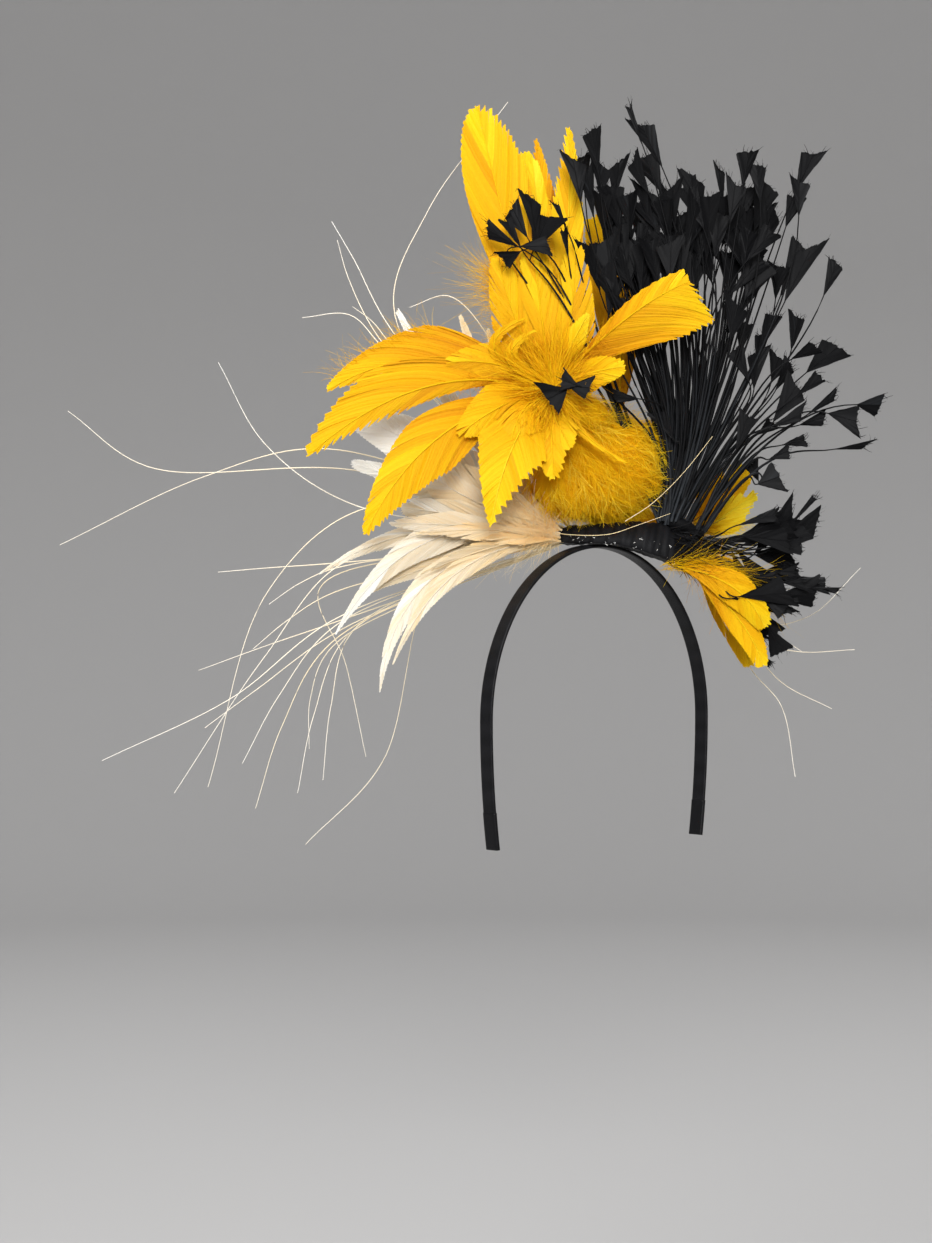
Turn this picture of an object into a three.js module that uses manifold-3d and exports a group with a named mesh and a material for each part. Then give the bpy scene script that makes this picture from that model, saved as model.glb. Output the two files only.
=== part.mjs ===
// Feather fascinator on a narrow headband, in millimetres with +Z up.
// The wearer faces -Y and the wearer's left is +X.
// The origin is the underside of the headband where it crosses the crown of the head.

import * as THREE from 'three';
import { mergeVertices } from 'three/addons/utils/BufferGeometryUtils.js';
import Module from 'manifold-3d';

const wasm = await Module();
wasm.setup();

// Driving dimensions

const SEAT_GAP = 0.3;

const BAND_WIDTH = 8;
const BAND_THICK = 1.8;
const BAND_HALF_SPAN = 68;
const BAND_RISE = 80;
const BAND_DEPTH = 138;
const BAND_TIP_INSET = 4;
const BAND_ARC_STEPS = 22;
const BAND_LEG_STEPS = 3;

const WRAP_LENGTH = 16;
const WRAP_EXTRA = 0.4;

const BASE_CENTRE_AWAY = 2;
const BASE_FALL = 0.008;

const PUFF_CENTRE = [3, 3, 40];
const PUFF_RADII = [28, 25, 27];
const PUFF_LOCKS = 20;
const PUFF_LOCK_REACH = 6;
const PUFF_STALK_RADIUS = 4;
const LOCK_BARE_FROM = 0.5;

const FLOWER_CENTRE = [-23, -15, 74];
const FLOWER_RADIUS = 8;
const FLOWER_NECK_RADIUS = 5;

const FAR_CENTRE = [42, 34, 3];
const FAR_RADII = [10.5, 10.5, 10.5];
const FAR_LOCKS = 10;
const FAR_LOCK_REACH = 5;
const FAR_FOOT = [31.3, 17.8, -1.7];
const FAR_STALK_RADIUS = 2.4;

const CREAM_STANDOFF = 1.3;

const VANE_THICK = 1.0;
const QUILL_HALF_WIDTH = 1.0;
const QUILL_SHARE = 0.1;
const VANE_CUP = 0.12;

const STEM_HALF = 0.55;
const WEDGE_HALF_THICK = 0.45;
const WEDGE_NOTCH = 0.22;

const WHISKER_ROOT_RADIUS = 0.55;
const WHISKER_TIP_RADIUS = 0.35;
const WHISKER_STEPS = 8;
const WHISKER_HEAD_RADIUS = 1.8;

// Ridges that bind the black sprays to the back of the base, and the necks they rise through.
// Open holds the angles at which a spray's first and last quills leave, in radians above level.
const UPPER_RIDGE = [[31, 1, 15.7], [37, 1, 13.7], [46, 1, 10.2]];
const UPPER_RIDGE_RADIUS = 4.4;
const UPPER_NECK = [[42, -5, 52], [64, -2, 44]];
const UPPER_OPEN = [2.1, 0];
const REAR_RIDGE = [[38, 11, 5.6], [42, 11, 2.6], [47, 10, -2]];
const REAR_RIDGE_RADIUS = 2.4;
const REAR_NECK = [[56, 9, 6], [58, 8, -12]];
const REAR_OPEN = [0.6, -1];

// Bound heads of the whisker sprays.
const UPPER_WHISKER_HEAD = [-12, 11.6, 8.9];
const LOWER_WHISKER_HEAD = [-14, 13.3, 3.4];
const BACK_WHISKER_HEAD = [47.2, 5, -8];

// The trim is laid out in a quarter frame, turned about the upright axis.
// Across runs from the wearer's front left to the back right, away runs to the front right, and up is up.
const QUARTER_TURN = THREE.MathUtils.degToRad(140);

// Sections of the base from its front nose to its back end.
// Each row is across, half depth, underside height and top height on the centre line.
const BASE_COLUMNS = ['across', 'half', 'low', 'high'];
const BASE_SECTIONS = [
  [-23, 1.5, 5.5, 8],
  [-19, 5, 2.6, 9.6],
  [-13, 9.5, 1.6, 10.6],
  [-4, 14, 2.6, 11.2],
  [8, 16.5, 2.1, 12],
  [20, 17, -1.1, 12.6],
  [31, 15.5, -5.6, 11.5],
  [39, 11, -10, 7.5],
  [45, 4, -12, 0],
];

// Golden feathers round the flower centre.
// Mid and tip are points on the quill, wide is the vane's full width and widest where along it that falls.
// Blunt is the share of the width left at the tip, and fold how steeply each half falls from the quill.
const PETAL_COLUMNS = ['name', 'mid', 'tip', 'wide', 'widest', 'blunt', 'fold'];
const FLOWER_PETALS = [
  ['petal_tall_front', [-42, -20, 142], [-57, -14, 206], 26, 0.7, 0.45, 0.1],
  ['petal_tall_second', [-33, -7, 138], [-44, -1, 192], 22, 0.7, 0.4, 0.1],
  ['petal_tall_back', [-23, 4, 140], [-29, 11, 195], 14, 0.7, 0.3, 0.1],
  ['petal_tall_right', [-15, -9, 142], [-14, -8, 197], 16, 0.7, 0.4, 0.1],
  ['petal_tall_inner', [-27, -14, 132], [-31, -10, 181], 13, 0.7, 0.4, 0.1],
  ['petal_left_upper', [-77, -27, 91], [-125, -31, 73], 23, 0.6, 0.4, 0.15],
  ['petal_left_droop', [-81, -33, 72], [-135, -39, 40], 22, 0.65, 0.35, 0.15],
  ['petal_left_pale', [-66, -19, 80], [-109, -17, 68], 16, 0.65, 0.35, 0.1],
  ['petal_low_left', [-76, -40, 48], [-108, -47, 4], 27, 0.6, 0.35, 0.1],
  ['petal_down', [-42, -43, 42], [-50, -47, 10], 34, 0.5, 0.2, 0.1],
  ['petal_down_small', [-23, -32, 50], [-22, -35, 30], 16, 0.55, 0.3, 0.1],
  ['petal_right_broad', [23, -38, 103], [56, -43, 105], 27, 0.7, 0.45, 0.35],
  ['petal_right_small', [-2, -30, 84], [12, -35, 88], 13, 0.6, 0.35, 0.1],
  ['petal_right_spur', [-13, -27, 94], [-6, -33, 107], 9, 0.6, 0.35, 0.1],
];

// Golden feathers round the far puff, on the side of the head away from the raised flower.
const FAR_PETALS = [
  ['petal_far_right', [62, 31, 16], [77, 30, 27], 20, 0.6, 0.35, 0.15],
  ['petal_far_high', [60, 42, 26], [76, 44, 41], 20, 0.6, 0.35, 0.15],
  ['petal_far_back', [64, 39, -14], [78, 40, -34], 15, 0.6, 0.3, 0.15],
  ['petal_far_low', [64, 48, -26], [77, 46, -57], 15, 0.6, 0.3, 0.15],
  ['petal_far_side', [42, 66, 12], [38, 96, 6], 22, 0.6, 0.35, 0.15],
  ['petal_far_front', [18, 58, 16], [-2, 84, 18], 22, 0.6, 0.35, 0.15],
  ['petal_far_rise', [34, 58, 38], [28, 78, 66], 22, 0.6, 0.35, 0.15],
];

// One tall golden feather behind the puff, rooted on its back.
const BACK_PETAL = ['petal_back_upright', [12, 38, 116], [1, 36, 163], 24, 0.65, 0.4, 0.1];
const BACK_PETAL_ROOT = [10, 24.2, 53];

// Pale feathers swept forward from the nose of the base, nearest first.
// Away and up place the root on the nose.
const CREAM_COLUMNS = ['away', 'up', 'mid', 'tip', 'wide', 'widest', 'blunt', 'fold'];
const CREAM_FEATHERS = [
  [-4.5, 2.8, [-65, -19, -11], [-96, -24, -55], 10, 0.55, 0.12, 0.1],
  [-2.2, 2.6, [-78, -15, -15], [-102, -19, -68], 13, 0.6, 0.12, 0.1],
  [0.2, 2.6, [-70, -7, -6], [-107, -6, -21], 11, 0.6, 0.2, 0.1],
  [-3.4, 5.6, [-79, -13, 3], [-123, -13, -41], 15, 0.6, 0.12, 0.1],
  [3.0, 2.6, [-80, -2, 8], [-132, -2, -13], 11, 0.6, 0.12, 0.1],
  [6.0, 2.8, [-74, 8, 8], [-120, 11, -6], 12, 0.6, 0.2, 0.1],
  [-2.4, 8.0, [-54, -8, 20], [-82, -8, 36], 22, 0.6, 0.3, 0.1],
  [1.0, 5.4, [-58, 3, 17], [-93, 4, 18], 14, 0.6, 0.3, 0.1],
  [5.0, 5.6, [-69, 12, 25], [-117, 14, 41], 12, 0.65, 0.25, 0.1],
  [-0.4, 8.4, [-66, -3, 38], [-115, -5, 62], 20, 0.7, 0.3, 0.1],
  [1.6, 8.5, [-60, 3, 56], [-95, 4, 113], 8, 0.65, 0.2, 0.1],
  [3.6, 8.3, [-46, 7, 60], [-65, 9, 111], 7, 0.65, 0.2, 0.1],
  [5.6, 8.1, [-37, 10, 58], [-52, 12, 105], 6, 0.65, 0.2, 0.1],
];

// Trimmed black quills: the point at the end of the wedge, the wedge's length and its full width.
const QUILL_COLUMNS = ['across', 'away', 'up', 'long', 'wide'];
const UPPER_QUILLS = [
  [14, -4, 208, 26, 4],
  [-4, -18, 197, 20, 9],
  [-10, -24, 183, 24, 16],
  [9, -10, 181, 24, 16],
  [21, 8, 186, 24, 11],
  [34, -6, 172, 24, 17],
  [44, 12, 174, 24, 18],
  [57, 2, 180, 22, 8],
  [71, -10, 186, 18, 10],
  [103, 6, 187, 20, 10],
  [82, 14, 165, 26, 14],
  [83, -14, 150, 24, 13],
  [90, -4, 141, 26, 13],
  [105, 10, 139, 26, 15],
  [112, -8, 134, 18, 9],
  [94, 16, 110, 20, 14],
  [103, -14, 98, 20, 11],
  [114, 4, 93, 22, 14],
  [112, -6, 72, 18, 7],
  [132, 8, 68, 14, 13],
  [123, -2, 59, 18, 15],
  [128, 12, 49, 18, 5],
  [90, -10, 33, 16, 12],
  [95, 2, 67, 28, 18],
  [80, -16, 99, 26, 18],
  [70, 6, 112, 26, 16],
  [62, -12, 140, 26, 18],
  [52, 16, 150, 26, 17],
  [40, -20, 152, 28, 18],
  [28, -2, 146, 28, 18],
  [16, -22, 158, 28, 18],
  [2, -14, 156, 28, 18],
  [-6, -24, 146, 38, 16],
  [-28, -31, 164, 26, 18],
  [-52, -32, 155, 18, 8],
  [-44, -29, 161, 18, 9],
  [-46, -36, 131, 14, 11],
  [-23, -38, 70, 14, 20],
  [-9, -42, 76, 14, 19],
];
const REAR_QUILLS = [
  [104, 4, 7, 22, 15],
  [101, -4, 22, 16, 4],
  [95, -6, -2, 18, 13],
  [84, -10, 17, 26, 15],
  [93, 8, -9, 14, 9],
  [98, -2, -18, 16, 9],
  [112, 2, -20, 16, 4],
  [89, 10, -27, 16, 11],
  [80, -6, -20, 18, 11],
  [90, 2, -46, 20, 11],
  [80, 12, -54, 18, 9],
];

// Stripped pale filaments: three points that each passes after its root, the last of them its tip.
const WHISKER_COLUMNS = ['first', 'second', 'tip'];
const UPPER_WHISKERS = [
  [[-116, 22, 38], [-215, 28, 40], [-254, 30, 67]],
  [[-130, 34, 49], [-190, 44, 36], [-261, 50, 3]],
  [[-116, 40, 22], [-160, 46, 52], [-183, 46, 92]],
  [[-98, 28, 106], [-116, 32, 140], [-127, 34, 159]],
  [[-102, 38, 100], [-119, 46, 132], [-125, 48, 152]],
  [[-98, 48, 100], [-108, 56, 113], [-118, 60, 121]],
  [[-101, 24, 96], [-118, 28, 113], [-141, 30, 112]],
  [[-96, 20, 112], [-80, 24, 163], [-42, 26, 215]],
];
const LOWER_WHISKERS = [
  [[-109, 22, 20], [-157, 24, -20], [-186, 26, -114]],
  [[-119, 30, -5], [-160, 38, -52], [-204, 42, -118]],
  [[-124, 20, -33], [-174, 20, -71], [-236, 20, -101]],
  [[-122, 44, -38], [-165, 54, -68], [-191, 60, -87]],
  [[-126, 28, -44], [-151, 34, -85], [-164, 36, -125]],
  [[-126, 36, -46], [-138, 46, -72], [-139, 52, -97]],
  [[-134, 58, -18], [-122, 68, -55], [-112, 74, -102]],
  [[-128, 52, -6], [-160, 62, -8], [-185, 66, -10]],
  [[-136, 64, -38], [-160, 72, -46], [-196, 78, -59]],
  [[-78, 72, -16], [-104, 84, -105], [-143, 88, -147]],
];
const BACK_WHISKERS = [
  [[80, 22, -35], [104, 20, -32], [126, 16, -9]],
  [[76, 30, -36], [92, 32, -43], [101, 32, -49]],
  [[77, 26, -42], [98, 24, -49], [124, 22, -48]],
  [[78, 36, -58], [92, 38, -76], [98, 40, -110]],
];

// Colours of the pieces

const BLACK_SATIN = { color: 0x1b1b1e, roughness: 0.42, metalness: 0 };
const BLACK_FABRIC = { color: 0x131315, roughness: 0.8, metalness: 0 };
const BLACK_FEATHER = { color: 0x101012, roughness: 0.6, metalness: 0 };
const GOLDEN_FEATHER = { color: 0xf6b913, roughness: 0.65, metalness: 0 };
const GOLDEN_DOWN = { color: 0xe3a41c, roughness: 0.85, metalness: 0 };
const CREAM_FEATHER = { color: 0xece0cb, roughness: 0.65, metalness: 0 };
const CREAM_FILAMENT = { color: 0xeae3d2, roughness: 0.5, metalness: 0 };

// Shared geometry

// Turns the rows of a table into objects with the table's column names.
function named(columns, table) {
  return table.map((row) => Object.fromEntries(columns.map((column, i) => [column, row[i]])));
}

function point(values) {
  return new THREE.Vector3(...values);
}

// A repeatable share from 0 to 1 for item i of a run.
function scatter(i, salt) {
  const wave = Math.sin(i * 12.9898 + salt * 78.233) * 43758.5453;
  return wave - Math.floor(wave);
}

// Skins a closed solid over rings of equal count, each counterclockwise about the way the run goes.
function loft(rings) {
  const count = rings[0].length;
  const last = (rings.length - 1) * count;
  const faces = [];
  for (let ring = 0; ring + 1 < rings.length; ring++) {
    for (let i = 0; i < count; i++) {
      const here = ring * count + i;
      const next = ring * count + (i + 1) % count;
      faces.push(here, next, next + count, here, next + count, here + count);
    }
  }
  for (let i = 1; i + 1 < count; i++) {
    faces.push(count - 1, i, i - 1);
    faces.push(last + count - 1, last + i - 1, last + i);
  }
  const geometry = new THREE.BufferGeometry().setFromPoints(rings.flat());
  geometry.setIndex(faces);
  geometry.computeVertexNormals();
  return geometry;
}

// The two directions square to a run: out, as near as can be to the one asked for, and side.
function squareTo(along, wanted) {
  const out = wanted.clone().addScaledVector(along, -wanted.dot(along)).normalize();
  const side = out.clone().cross(along);
  return { out, side };
}

function ringAt(centre, side, out, shape) {
  return shape.map(([s, o]) => centre.clone().addScaledVector(side, s).addScaledVector(out, o));
}

function circle(count, radius) {
  return Array.from({ length: count }, (_, i) => {
    const angle = (2 * Math.PI * i) / count;
    return [radius * Math.cos(angle), radius * Math.sin(angle)];
  });
}

// A round rod along a curve, with its radius worked out from the share of the way along.
function rod(curve, steps, sides, radiusAt) {
  const rings = [];
  for (let step = 0; step <= steps; step++) {
    const share = step / steps;
    const along = curve.getTangentAt(share);
    const wanted = Math.abs(along.z) < 0.9 ? new THREE.Vector3(0, 0, 1) : new THREE.Vector3(0, -1, 0);
    const { out, side } = squareTo(along, wanted);
    rings.push(ringAt(curve.getPointAt(share), side, out, circle(sides, radiusAt(share))));
  }
  return loft(rings);
}

// Joins overlapping solids into one.
function fuse(geometries) {
  const solids = geometries.map((geometry) => {
    const bare = geometry.clone();
    bare.deleteAttribute('normal');
    bare.deleteAttribute('uv');
    const merged = mergeVertices(bare, 1e-4);
    return new wasm.Manifold(new wasm.Mesh({
      numProp: 3,
      vertProperties: merged.attributes.position.array,
      triVerts: new Uint32Array(merged.index.array),
    }));
  });
  const joined = solids.reduce((whole, solid) => whole.add(solid)).getMesh();
  const geometry = new THREE.BufferGeometry();
  geometry.setAttribute('position', new THREE.BufferAttribute(joined.vertProperties, 3));
  geometry.setIndex(new THREE.BufferAttribute(joined.triVerts, 1));
  geometry.computeVertexNormals();
  return geometry;
}

function piece(name, geometry, finish) {
  const mesh = new THREE.Mesh(geometry, new THREE.MeshStandardMaterial(finish));
  mesh.name = name;
  return mesh;
}

// Headband

// A point on the underside of the hoop: turn runs from -1 at the right end of the arc to 1 at the left.
function bandArc(turn) {
  const angle = (turn * Math.PI) / 2;
  return new THREE.Vector3(BAND_HALF_SPAN * Math.sin(angle), 0, -BAND_RISE * (1 - Math.cos(angle)));
}

// A point on a leg of the hoop below the arc, from its top at 0 to the tip at 1.
function bandLeg(hand, share) {
  const drop = BAND_DEPTH - BAND_RISE;
  return new THREE.Vector3(hand * (BAND_HALF_SPAN - BAND_TIP_INSET * share * share), 0, -BAND_RISE - drop * share);
}

// The flat section of the hoop with its corners eased, standing on its underside.
function bandSection(extra) {
  const half = BAND_WIDTH / 2 + extra / 2;
  const low = -extra / 2;
  const high = BAND_THICK + extra / 2;
  const ease = 0.5;
  return [
    [half, low + ease], [half, high - ease], [half - ease, high], [ease - half, high],
    [-half, high - ease], [-half, low + ease], [ease - half, low], [half - ease, low],
  ];
}

function sweepBand(points, extra) {
  const rings = points.map((at, i) => {
    const before = points[Math.max(i - 1, 0)];
    const after = points[Math.min(i + 1, points.length - 1)];
    const along = after.clone().sub(before).normalize();
    const side = new THREE.Vector3(0, 1, 0);
    const out = along.clone().cross(side);
    return ringAt(at, side, out, bandSection(extra));
  });
  return loft(rings);
}

function headband() {
  const wrapShare = 1 - WRAP_LENGTH / (BAND_DEPTH - BAND_RISE);
  const legShares = Array.from({ length: BAND_LEG_STEPS }, (_, i) => (wrapShare * (i + 1)) / BAND_LEG_STEPS);
  const arc = Array.from({ length: BAND_ARC_STEPS + 1 }, (_, i) => bandArc((2 * i) / BAND_ARC_STEPS - 1));
  const left = legShares.map((share) => bandLeg(1, share));
  const right = legShares.map((share) => bandLeg(-1, share)).reverse();
  return sweepBand([...right, ...arc, ...left], 0);
}

function endWrap(hand) {
  const drop = BAND_DEPTH - BAND_RISE;
  const start = 1 - (WRAP_LENGTH - SEAT_GAP) / drop;
  const points = [start, (start + 1) / 2, 1].map((share) => bandLeg(hand, share));
  return sweepBand(hand > 0 ? points : points.reverse(), WRAP_EXTRA);
}

// Base

// Points round a section of the base: share of the half depth, and share of the height.
const BASE_RING = [
  [1, 0.3], [0.85, 0.68], [0.45, 0.93], [0, 1], [-0.45, 0.93], [-0.85, 0.68],
  [-1, 0.3], [-0.9, 0], [-0.45, 0], [0, 0], [0.45, 0], [0.9, 0],
];

// The section of the base at any place across, between the rows of its table.
function baseSection(across) {
  const rows = named(BASE_COLUMNS, BASE_SECTIONS);
  const next = Math.max(1, rows.findIndex((row) => row.across >= across));
  const [from, to] = [rows[next - 1], rows[next]];
  const share = (across - from.across) / (to.across - from.across);
  const blend = (column) => from[column] + (to[column] - from[column]) * share;
  return { half: blend('half'), low: blend('low'), high: blend('high') };
}

// The height of the top of the base over a place on it.
function baseTop(across, away) {
  const { half, low, high } = baseSection(across);
  const depth = (away - BASE_CENTRE_AWAY) / half;
  const dome = Math.sqrt(Math.max(0, 1 - depth * depth));
  return low - BASE_FALL * (depth * half) ** 2 + (high - low) * (0.3 + 0.7 * dome);
}

// The place across where the nose of the base first reaches a given depth and height.
function noseAcross(away, up) {
  const [first] = BASE_SECTIONS[0];
  let across = first;
  while (across < 0 && !(Math.abs(away - BASE_CENTRE_AWAY) < baseSection(across).half
    && up > baseSection(across).low && up < baseTop(across, away))) {
    across += 0.1;
  }
  return across;
}

function base() {
  const rings = named(BASE_COLUMNS, BASE_SECTIONS).map(({ across, half, low, high }) =>
    BASE_RING.map(([depth, height]) => {
      const away = depth * half;
      const under = low - BASE_FALL * away * away;
      return new THREE.Vector3(across, BASE_CENTRE_AWAY + away, under + (high - low) * height);
    }));
  return loft(rings);
}

// Down puffs

function ball(centre, radii, sides) {
  const geometry = new THREE.SphereGeometry(1, sides, Math.round(sides * 0.6));
  geometry.scale(...radii);
  geometry.translate(...centre);
  return geometry;
}

function post(from, to, radius) {
  return rod(new THREE.LineCurve3(point(from), point(to)), 1, 8, () => radius);
}

// Tapered locks of down spread evenly round a core, leaving bare its underside and the side by the black spray.
function downLocks(centre, radii, count, reach) {
  const goldenTurn = Math.PI * (3 - Math.sqrt(5));
  const middle = point(centre);
  const ways = Array.from({ length: count }, (_, i) => {
    const rise = 0.95 - (1.5 * (i + 0.5)) / count;
    const ring = Math.sqrt(1 - rise * rise);
    return new THREE.Vector3(ring * Math.cos(goldenTurn * i), ring * Math.sin(goldenTurn * i), rise);
  });
  return ways.filter((way) => way.x < LOCK_BARE_FROM).map((way, i) => {
    const skin = way.clone().multiply(point(radii));
    const root = middle.clone().addScaledVector(skin, 0.7);
    const swirl = new THREE.Vector3(-way.y, way.x, 0.4).multiplyScalar(reach * (scatter(i, 1) - 0.5));
    const tip = middle.clone().add(skin).addScaledVector(way, reach).add(swirl);
    const bend = middle.clone().add(skin).addScaledVector(way, reach * 0.4);
    const curve = new THREE.QuadraticBezierCurve3(root, bend, tip);
    return rod(curve, 2, 4, (share) => reach * 0.75 * (1 - share) + 0.6);
  });
}

function downPuff() {
  const [x, y, z] = PUFF_CENTRE;
  const seat = baseTop(x, y) + 2 * SEAT_GAP;
  return fuse([
    ball(PUFF_CENTRE, PUFF_RADII, 14),
    ball(FLOWER_CENTRE, [FLOWER_RADIUS, FLOWER_RADIUS, FLOWER_RADIUS], 10),
    post(PUFF_CENTRE, FLOWER_CENTRE, FLOWER_NECK_RADIUS),
    post([x, y, z], [x, y, seat], PUFF_STALK_RADIUS),
    ...downLocks(PUFF_CENTRE, PUFF_RADII, PUFF_LOCKS, PUFF_LOCK_REACH),
  ]);
}

function farPuff() {
  return fuse([
    ball(FAR_CENTRE, FAR_RADII, 10),
    post(FAR_CENTRE, FAR_FOOT, FAR_STALK_RADIUS),
    ...downLocks(FAR_CENTRE, FAR_RADII, FAR_LOCKS, FAR_LOCK_REACH),
  ]);
}

// Vaned feathers

// Points round a vane's section: share of the half width, and share of the half thickness.
const VANE_RING = [
  [1, 0], [0.5, 0.7], [0, 1], [-0.5, 0.7], [-1, 0], [-0.5, -0.7], [0, -1], [0.5, -0.7],
];
const VANE_STATIONS = [0, 0.1, 0.24, 0.42, 0.6, 0.78, 0.92, 1];
const TOWARD_VIEWER = new THREE.Vector3(0, -1, 0);
const UPWARD = new THREE.Vector3(0, 0, 1);

// Half the vane's width at a share of the way from root to tip.
function vaneHalf(share, { wide, widest, blunt }) {
  const full = wide / 2;
  if (share <= QUILL_SHARE) {
    return QUILL_HALF_WIDTH;
  }
  if (share < widest) {
    const rise = (share - QUILL_SHARE) / (widest - QUILL_SHARE);
    return QUILL_HALF_WIDTH + (full - QUILL_HALF_WIDTH) * Math.sin((rise * Math.PI) / 2);
  }
  const fall = (share - widest) / (1 - widest);
  return full * (blunt + (1 - blunt) * Math.sqrt(Math.max(0, 1 - fall * fall)));
}

// A closed vane along the curve through root, mid and tip, both halves falling away from the quill.
function feather(root, row) {
  const mid = point(row.mid);
  const tip = point(row.tip);
  const bend = mid.multiplyScalar(2).addScaledVector(root, -0.5).addScaledVector(tip, -0.5);
  const quill = new THREE.QuadraticBezierCurve3(root, bend, tip);
  const chord = tip.clone().sub(root).normalize();
  const facing = Math.abs(chord.y) < 0.75 ? TOWARD_VIEWER : UPWARD;
  const rings = VANE_STATIONS.map((share) => {
    const { out, side } = squareTo(quill.getTangent(share), facing);
    const half = vaneHalf(share, row);
    const shape = VANE_RING.map(([s, o]) => {
      const droop = (row.fold * Math.abs(s) + VANE_CUP * s * s) * half;
      return [s * half, (o * VANE_THICK) / 2 - droop];
    });
    return ringAt(quill.getPoint(share), side, out, shape);
  });
  return loft(rings);
}

// Feathers whose roots stand just clear of a round centre.
function petalsRound(centre, radius, table) {
  const middle = point(centre);
  return named(PETAL_COLUMNS, table).map((row) => {
    const way = point(row.mid).sub(middle).normalize();
    const root = middle.clone().addScaledVector(way, radius + SEAT_GAP);
    return piece(row.name, feather(root, row), GOLDEN_FEATHER);
  });
}

function creamFeathers() {
  return named(CREAM_COLUMNS, CREAM_FEATHERS).map((row, i) => {
    const name = 'cream_feather_' + String(i + 1).padStart(2, '0');
    const root = new THREE.Vector3(noseAcross(row.away, row.up) - CREAM_STANDOFF, row.away, row.up);
    return piece(name, feather(root, row), CREAM_FEATHER);
  });
}

// Black sprays

// A stripped quill that opens into a flat wedge with a notched end.
function wedgeQuill(curve, row, turn) {
  const length = curve.getLength();
  const wedge = 1 - row.long / length;
  const rings = [0, wedge * 0.25, wedge * 0.5, wedge * 0.75, wedge, 1].map((share) => {
    const along = curve.getTangentAt(share);
    const facing = TOWARD_VIEWER.clone().applyAxisAngle(along, turn);
    const { out, side } = squareTo(along, facing);
    const end = share === 1;
    const half = end ? row.wide / 2 : STEM_HALF;
    const thick = end ? WEDGE_HALF_THICK : STEM_HALF;
    const ring = ringAt(curve.getPointAt(share), side, out, [[half, 0], [0, thick], [-half, 0], [0, -thick]]);
    if (end) {
      ring[1].addScaledVector(along, -WEDGE_NOTCH * row.long);
      ring[3].addScaledVector(along, -WEDGE_NOTCH * row.long);
    }
    return ring;
  });
  return loft(rings);
}

// A spray of quills rising from a bound ridge, through a neck, and fanning out to their tips.
function spray(table, ridgePoints, ridgeRadius, neck, openAngle) {
  const ridge = new THREE.CatmullRomCurve3(ridgePoints.map(point));
  const [neckStart, neckFinish] = neck.map(point);
  const [firstAngle, lastAngle] = openAngle;
  const hub = neckStart.clone().lerp(neckFinish, 0.5);
  const quills = named(QUILL_COLUMNS, table).map((row, i) => {
    const tip = new THREE.Vector3(row.across, row.away, row.up);
    const angle = Math.atan2(tip.z - hub.z, tip.x - hub.x);
    const place = THREE.MathUtils.clamp((firstAngle - angle) / (firstAngle - lastAngle), 0, 1);
    const root = ridge.getPoint(0.06 + 0.88 * place);
    const through = neckStart.clone().lerp(neckFinish, place);
    through.y += 0.15 * (tip.y - through.y);
    const rise = root.clone().lerp(through, 1.25);
    const reach = tip.clone().lerp(through, 0.55);
    const curve = new THREE.CubicBezierCurve3(root, rise, reach, tip);
    return wedgeQuill(curve, row, (scatter(i, 3) - 0.5) * 1.4);
  });
  const bound = rod(ridge, 4, 8, (share) => ridgeRadius * (0.45 + 0.55 * Math.sin(Math.PI * share)));
  return fuse([bound, ...quills]);
}

// Whisker sprays

// Bare filaments fused to a small bound head.
function whiskers(table, head) {
  const middle = point(head);
  const headRadii = [WHISKER_HEAD_RADIUS, WHISKER_HEAD_RADIUS, WHISKER_HEAD_RADIUS];
  const strands = named(WHISKER_COLUMNS, table).map((row) => {
    const curve = new THREE.CatmullRomCurve3([middle, point(row.first), point(row.second), point(row.tip)]);
    return rod(curve, WHISKER_STEPS, 3, (share) =>
      WHISKER_ROOT_RADIUS + (WHISKER_TIP_RADIUS - WHISKER_ROOT_RADIUS) * share);
  });
  return fuse([ball(head, headRadii, 8), ...strands]);
}

// Assembly

const fascinator = new THREE.Group();
fascinator.name = 'feather_fascinator';
fascinator.add(
  piece('headband', headband(), BLACK_SATIN),
  piece('end_wrap_left', endWrap(1), BLACK_SATIN),
  piece('end_wrap_right', endWrap(-1), BLACK_SATIN),
);

const trim = new THREE.Group();
trim.rotation.z = QUARTER_TURN;
const [backPetal] = named(PETAL_COLUMNS, [BACK_PETAL]);
trim.add(
  piece('base', base(), BLACK_FABRIC),
  piece('down_puff', downPuff(), GOLDEN_DOWN),
  piece('far_puff', farPuff(), GOLDEN_DOWN),
  ...petalsRound(FLOWER_CENTRE, FLOWER_RADIUS, FLOWER_PETALS),
  ...petalsRound(FAR_CENTRE, FAR_RADII[0], FAR_PETALS),
  piece(backPetal.name, feather(point(BACK_PETAL_ROOT), backPetal), GOLDEN_FEATHER),
  ...creamFeathers(),
  piece('black_spray', spray(UPPER_QUILLS, UPPER_RIDGE, UPPER_RIDGE_RADIUS,
    UPPER_NECK, UPPER_OPEN), BLACK_FEATHER),
  piece('black_spray_rear', spray(REAR_QUILLS, REAR_RIDGE, REAR_RIDGE_RADIUS,
    REAR_NECK, REAR_OPEN), BLACK_FEATHER),
  piece('whiskers_upper', whiskers(UPPER_WHISKERS, UPPER_WHISKER_HEAD), CREAM_FILAMENT),
  piece('whiskers_lower', whiskers(LOWER_WHISKERS, LOWER_WHISKER_HEAD), CREAM_FILAMENT),
  piece('whiskers_back', whiskers(BACK_WHISKERS, BACK_WHISKER_HEAD), CREAM_FILAMENT),
);
fascinator.add(trim);

export default fascinator;
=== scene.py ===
"""Looks of the feather fascinator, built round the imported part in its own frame."""

import math

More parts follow.
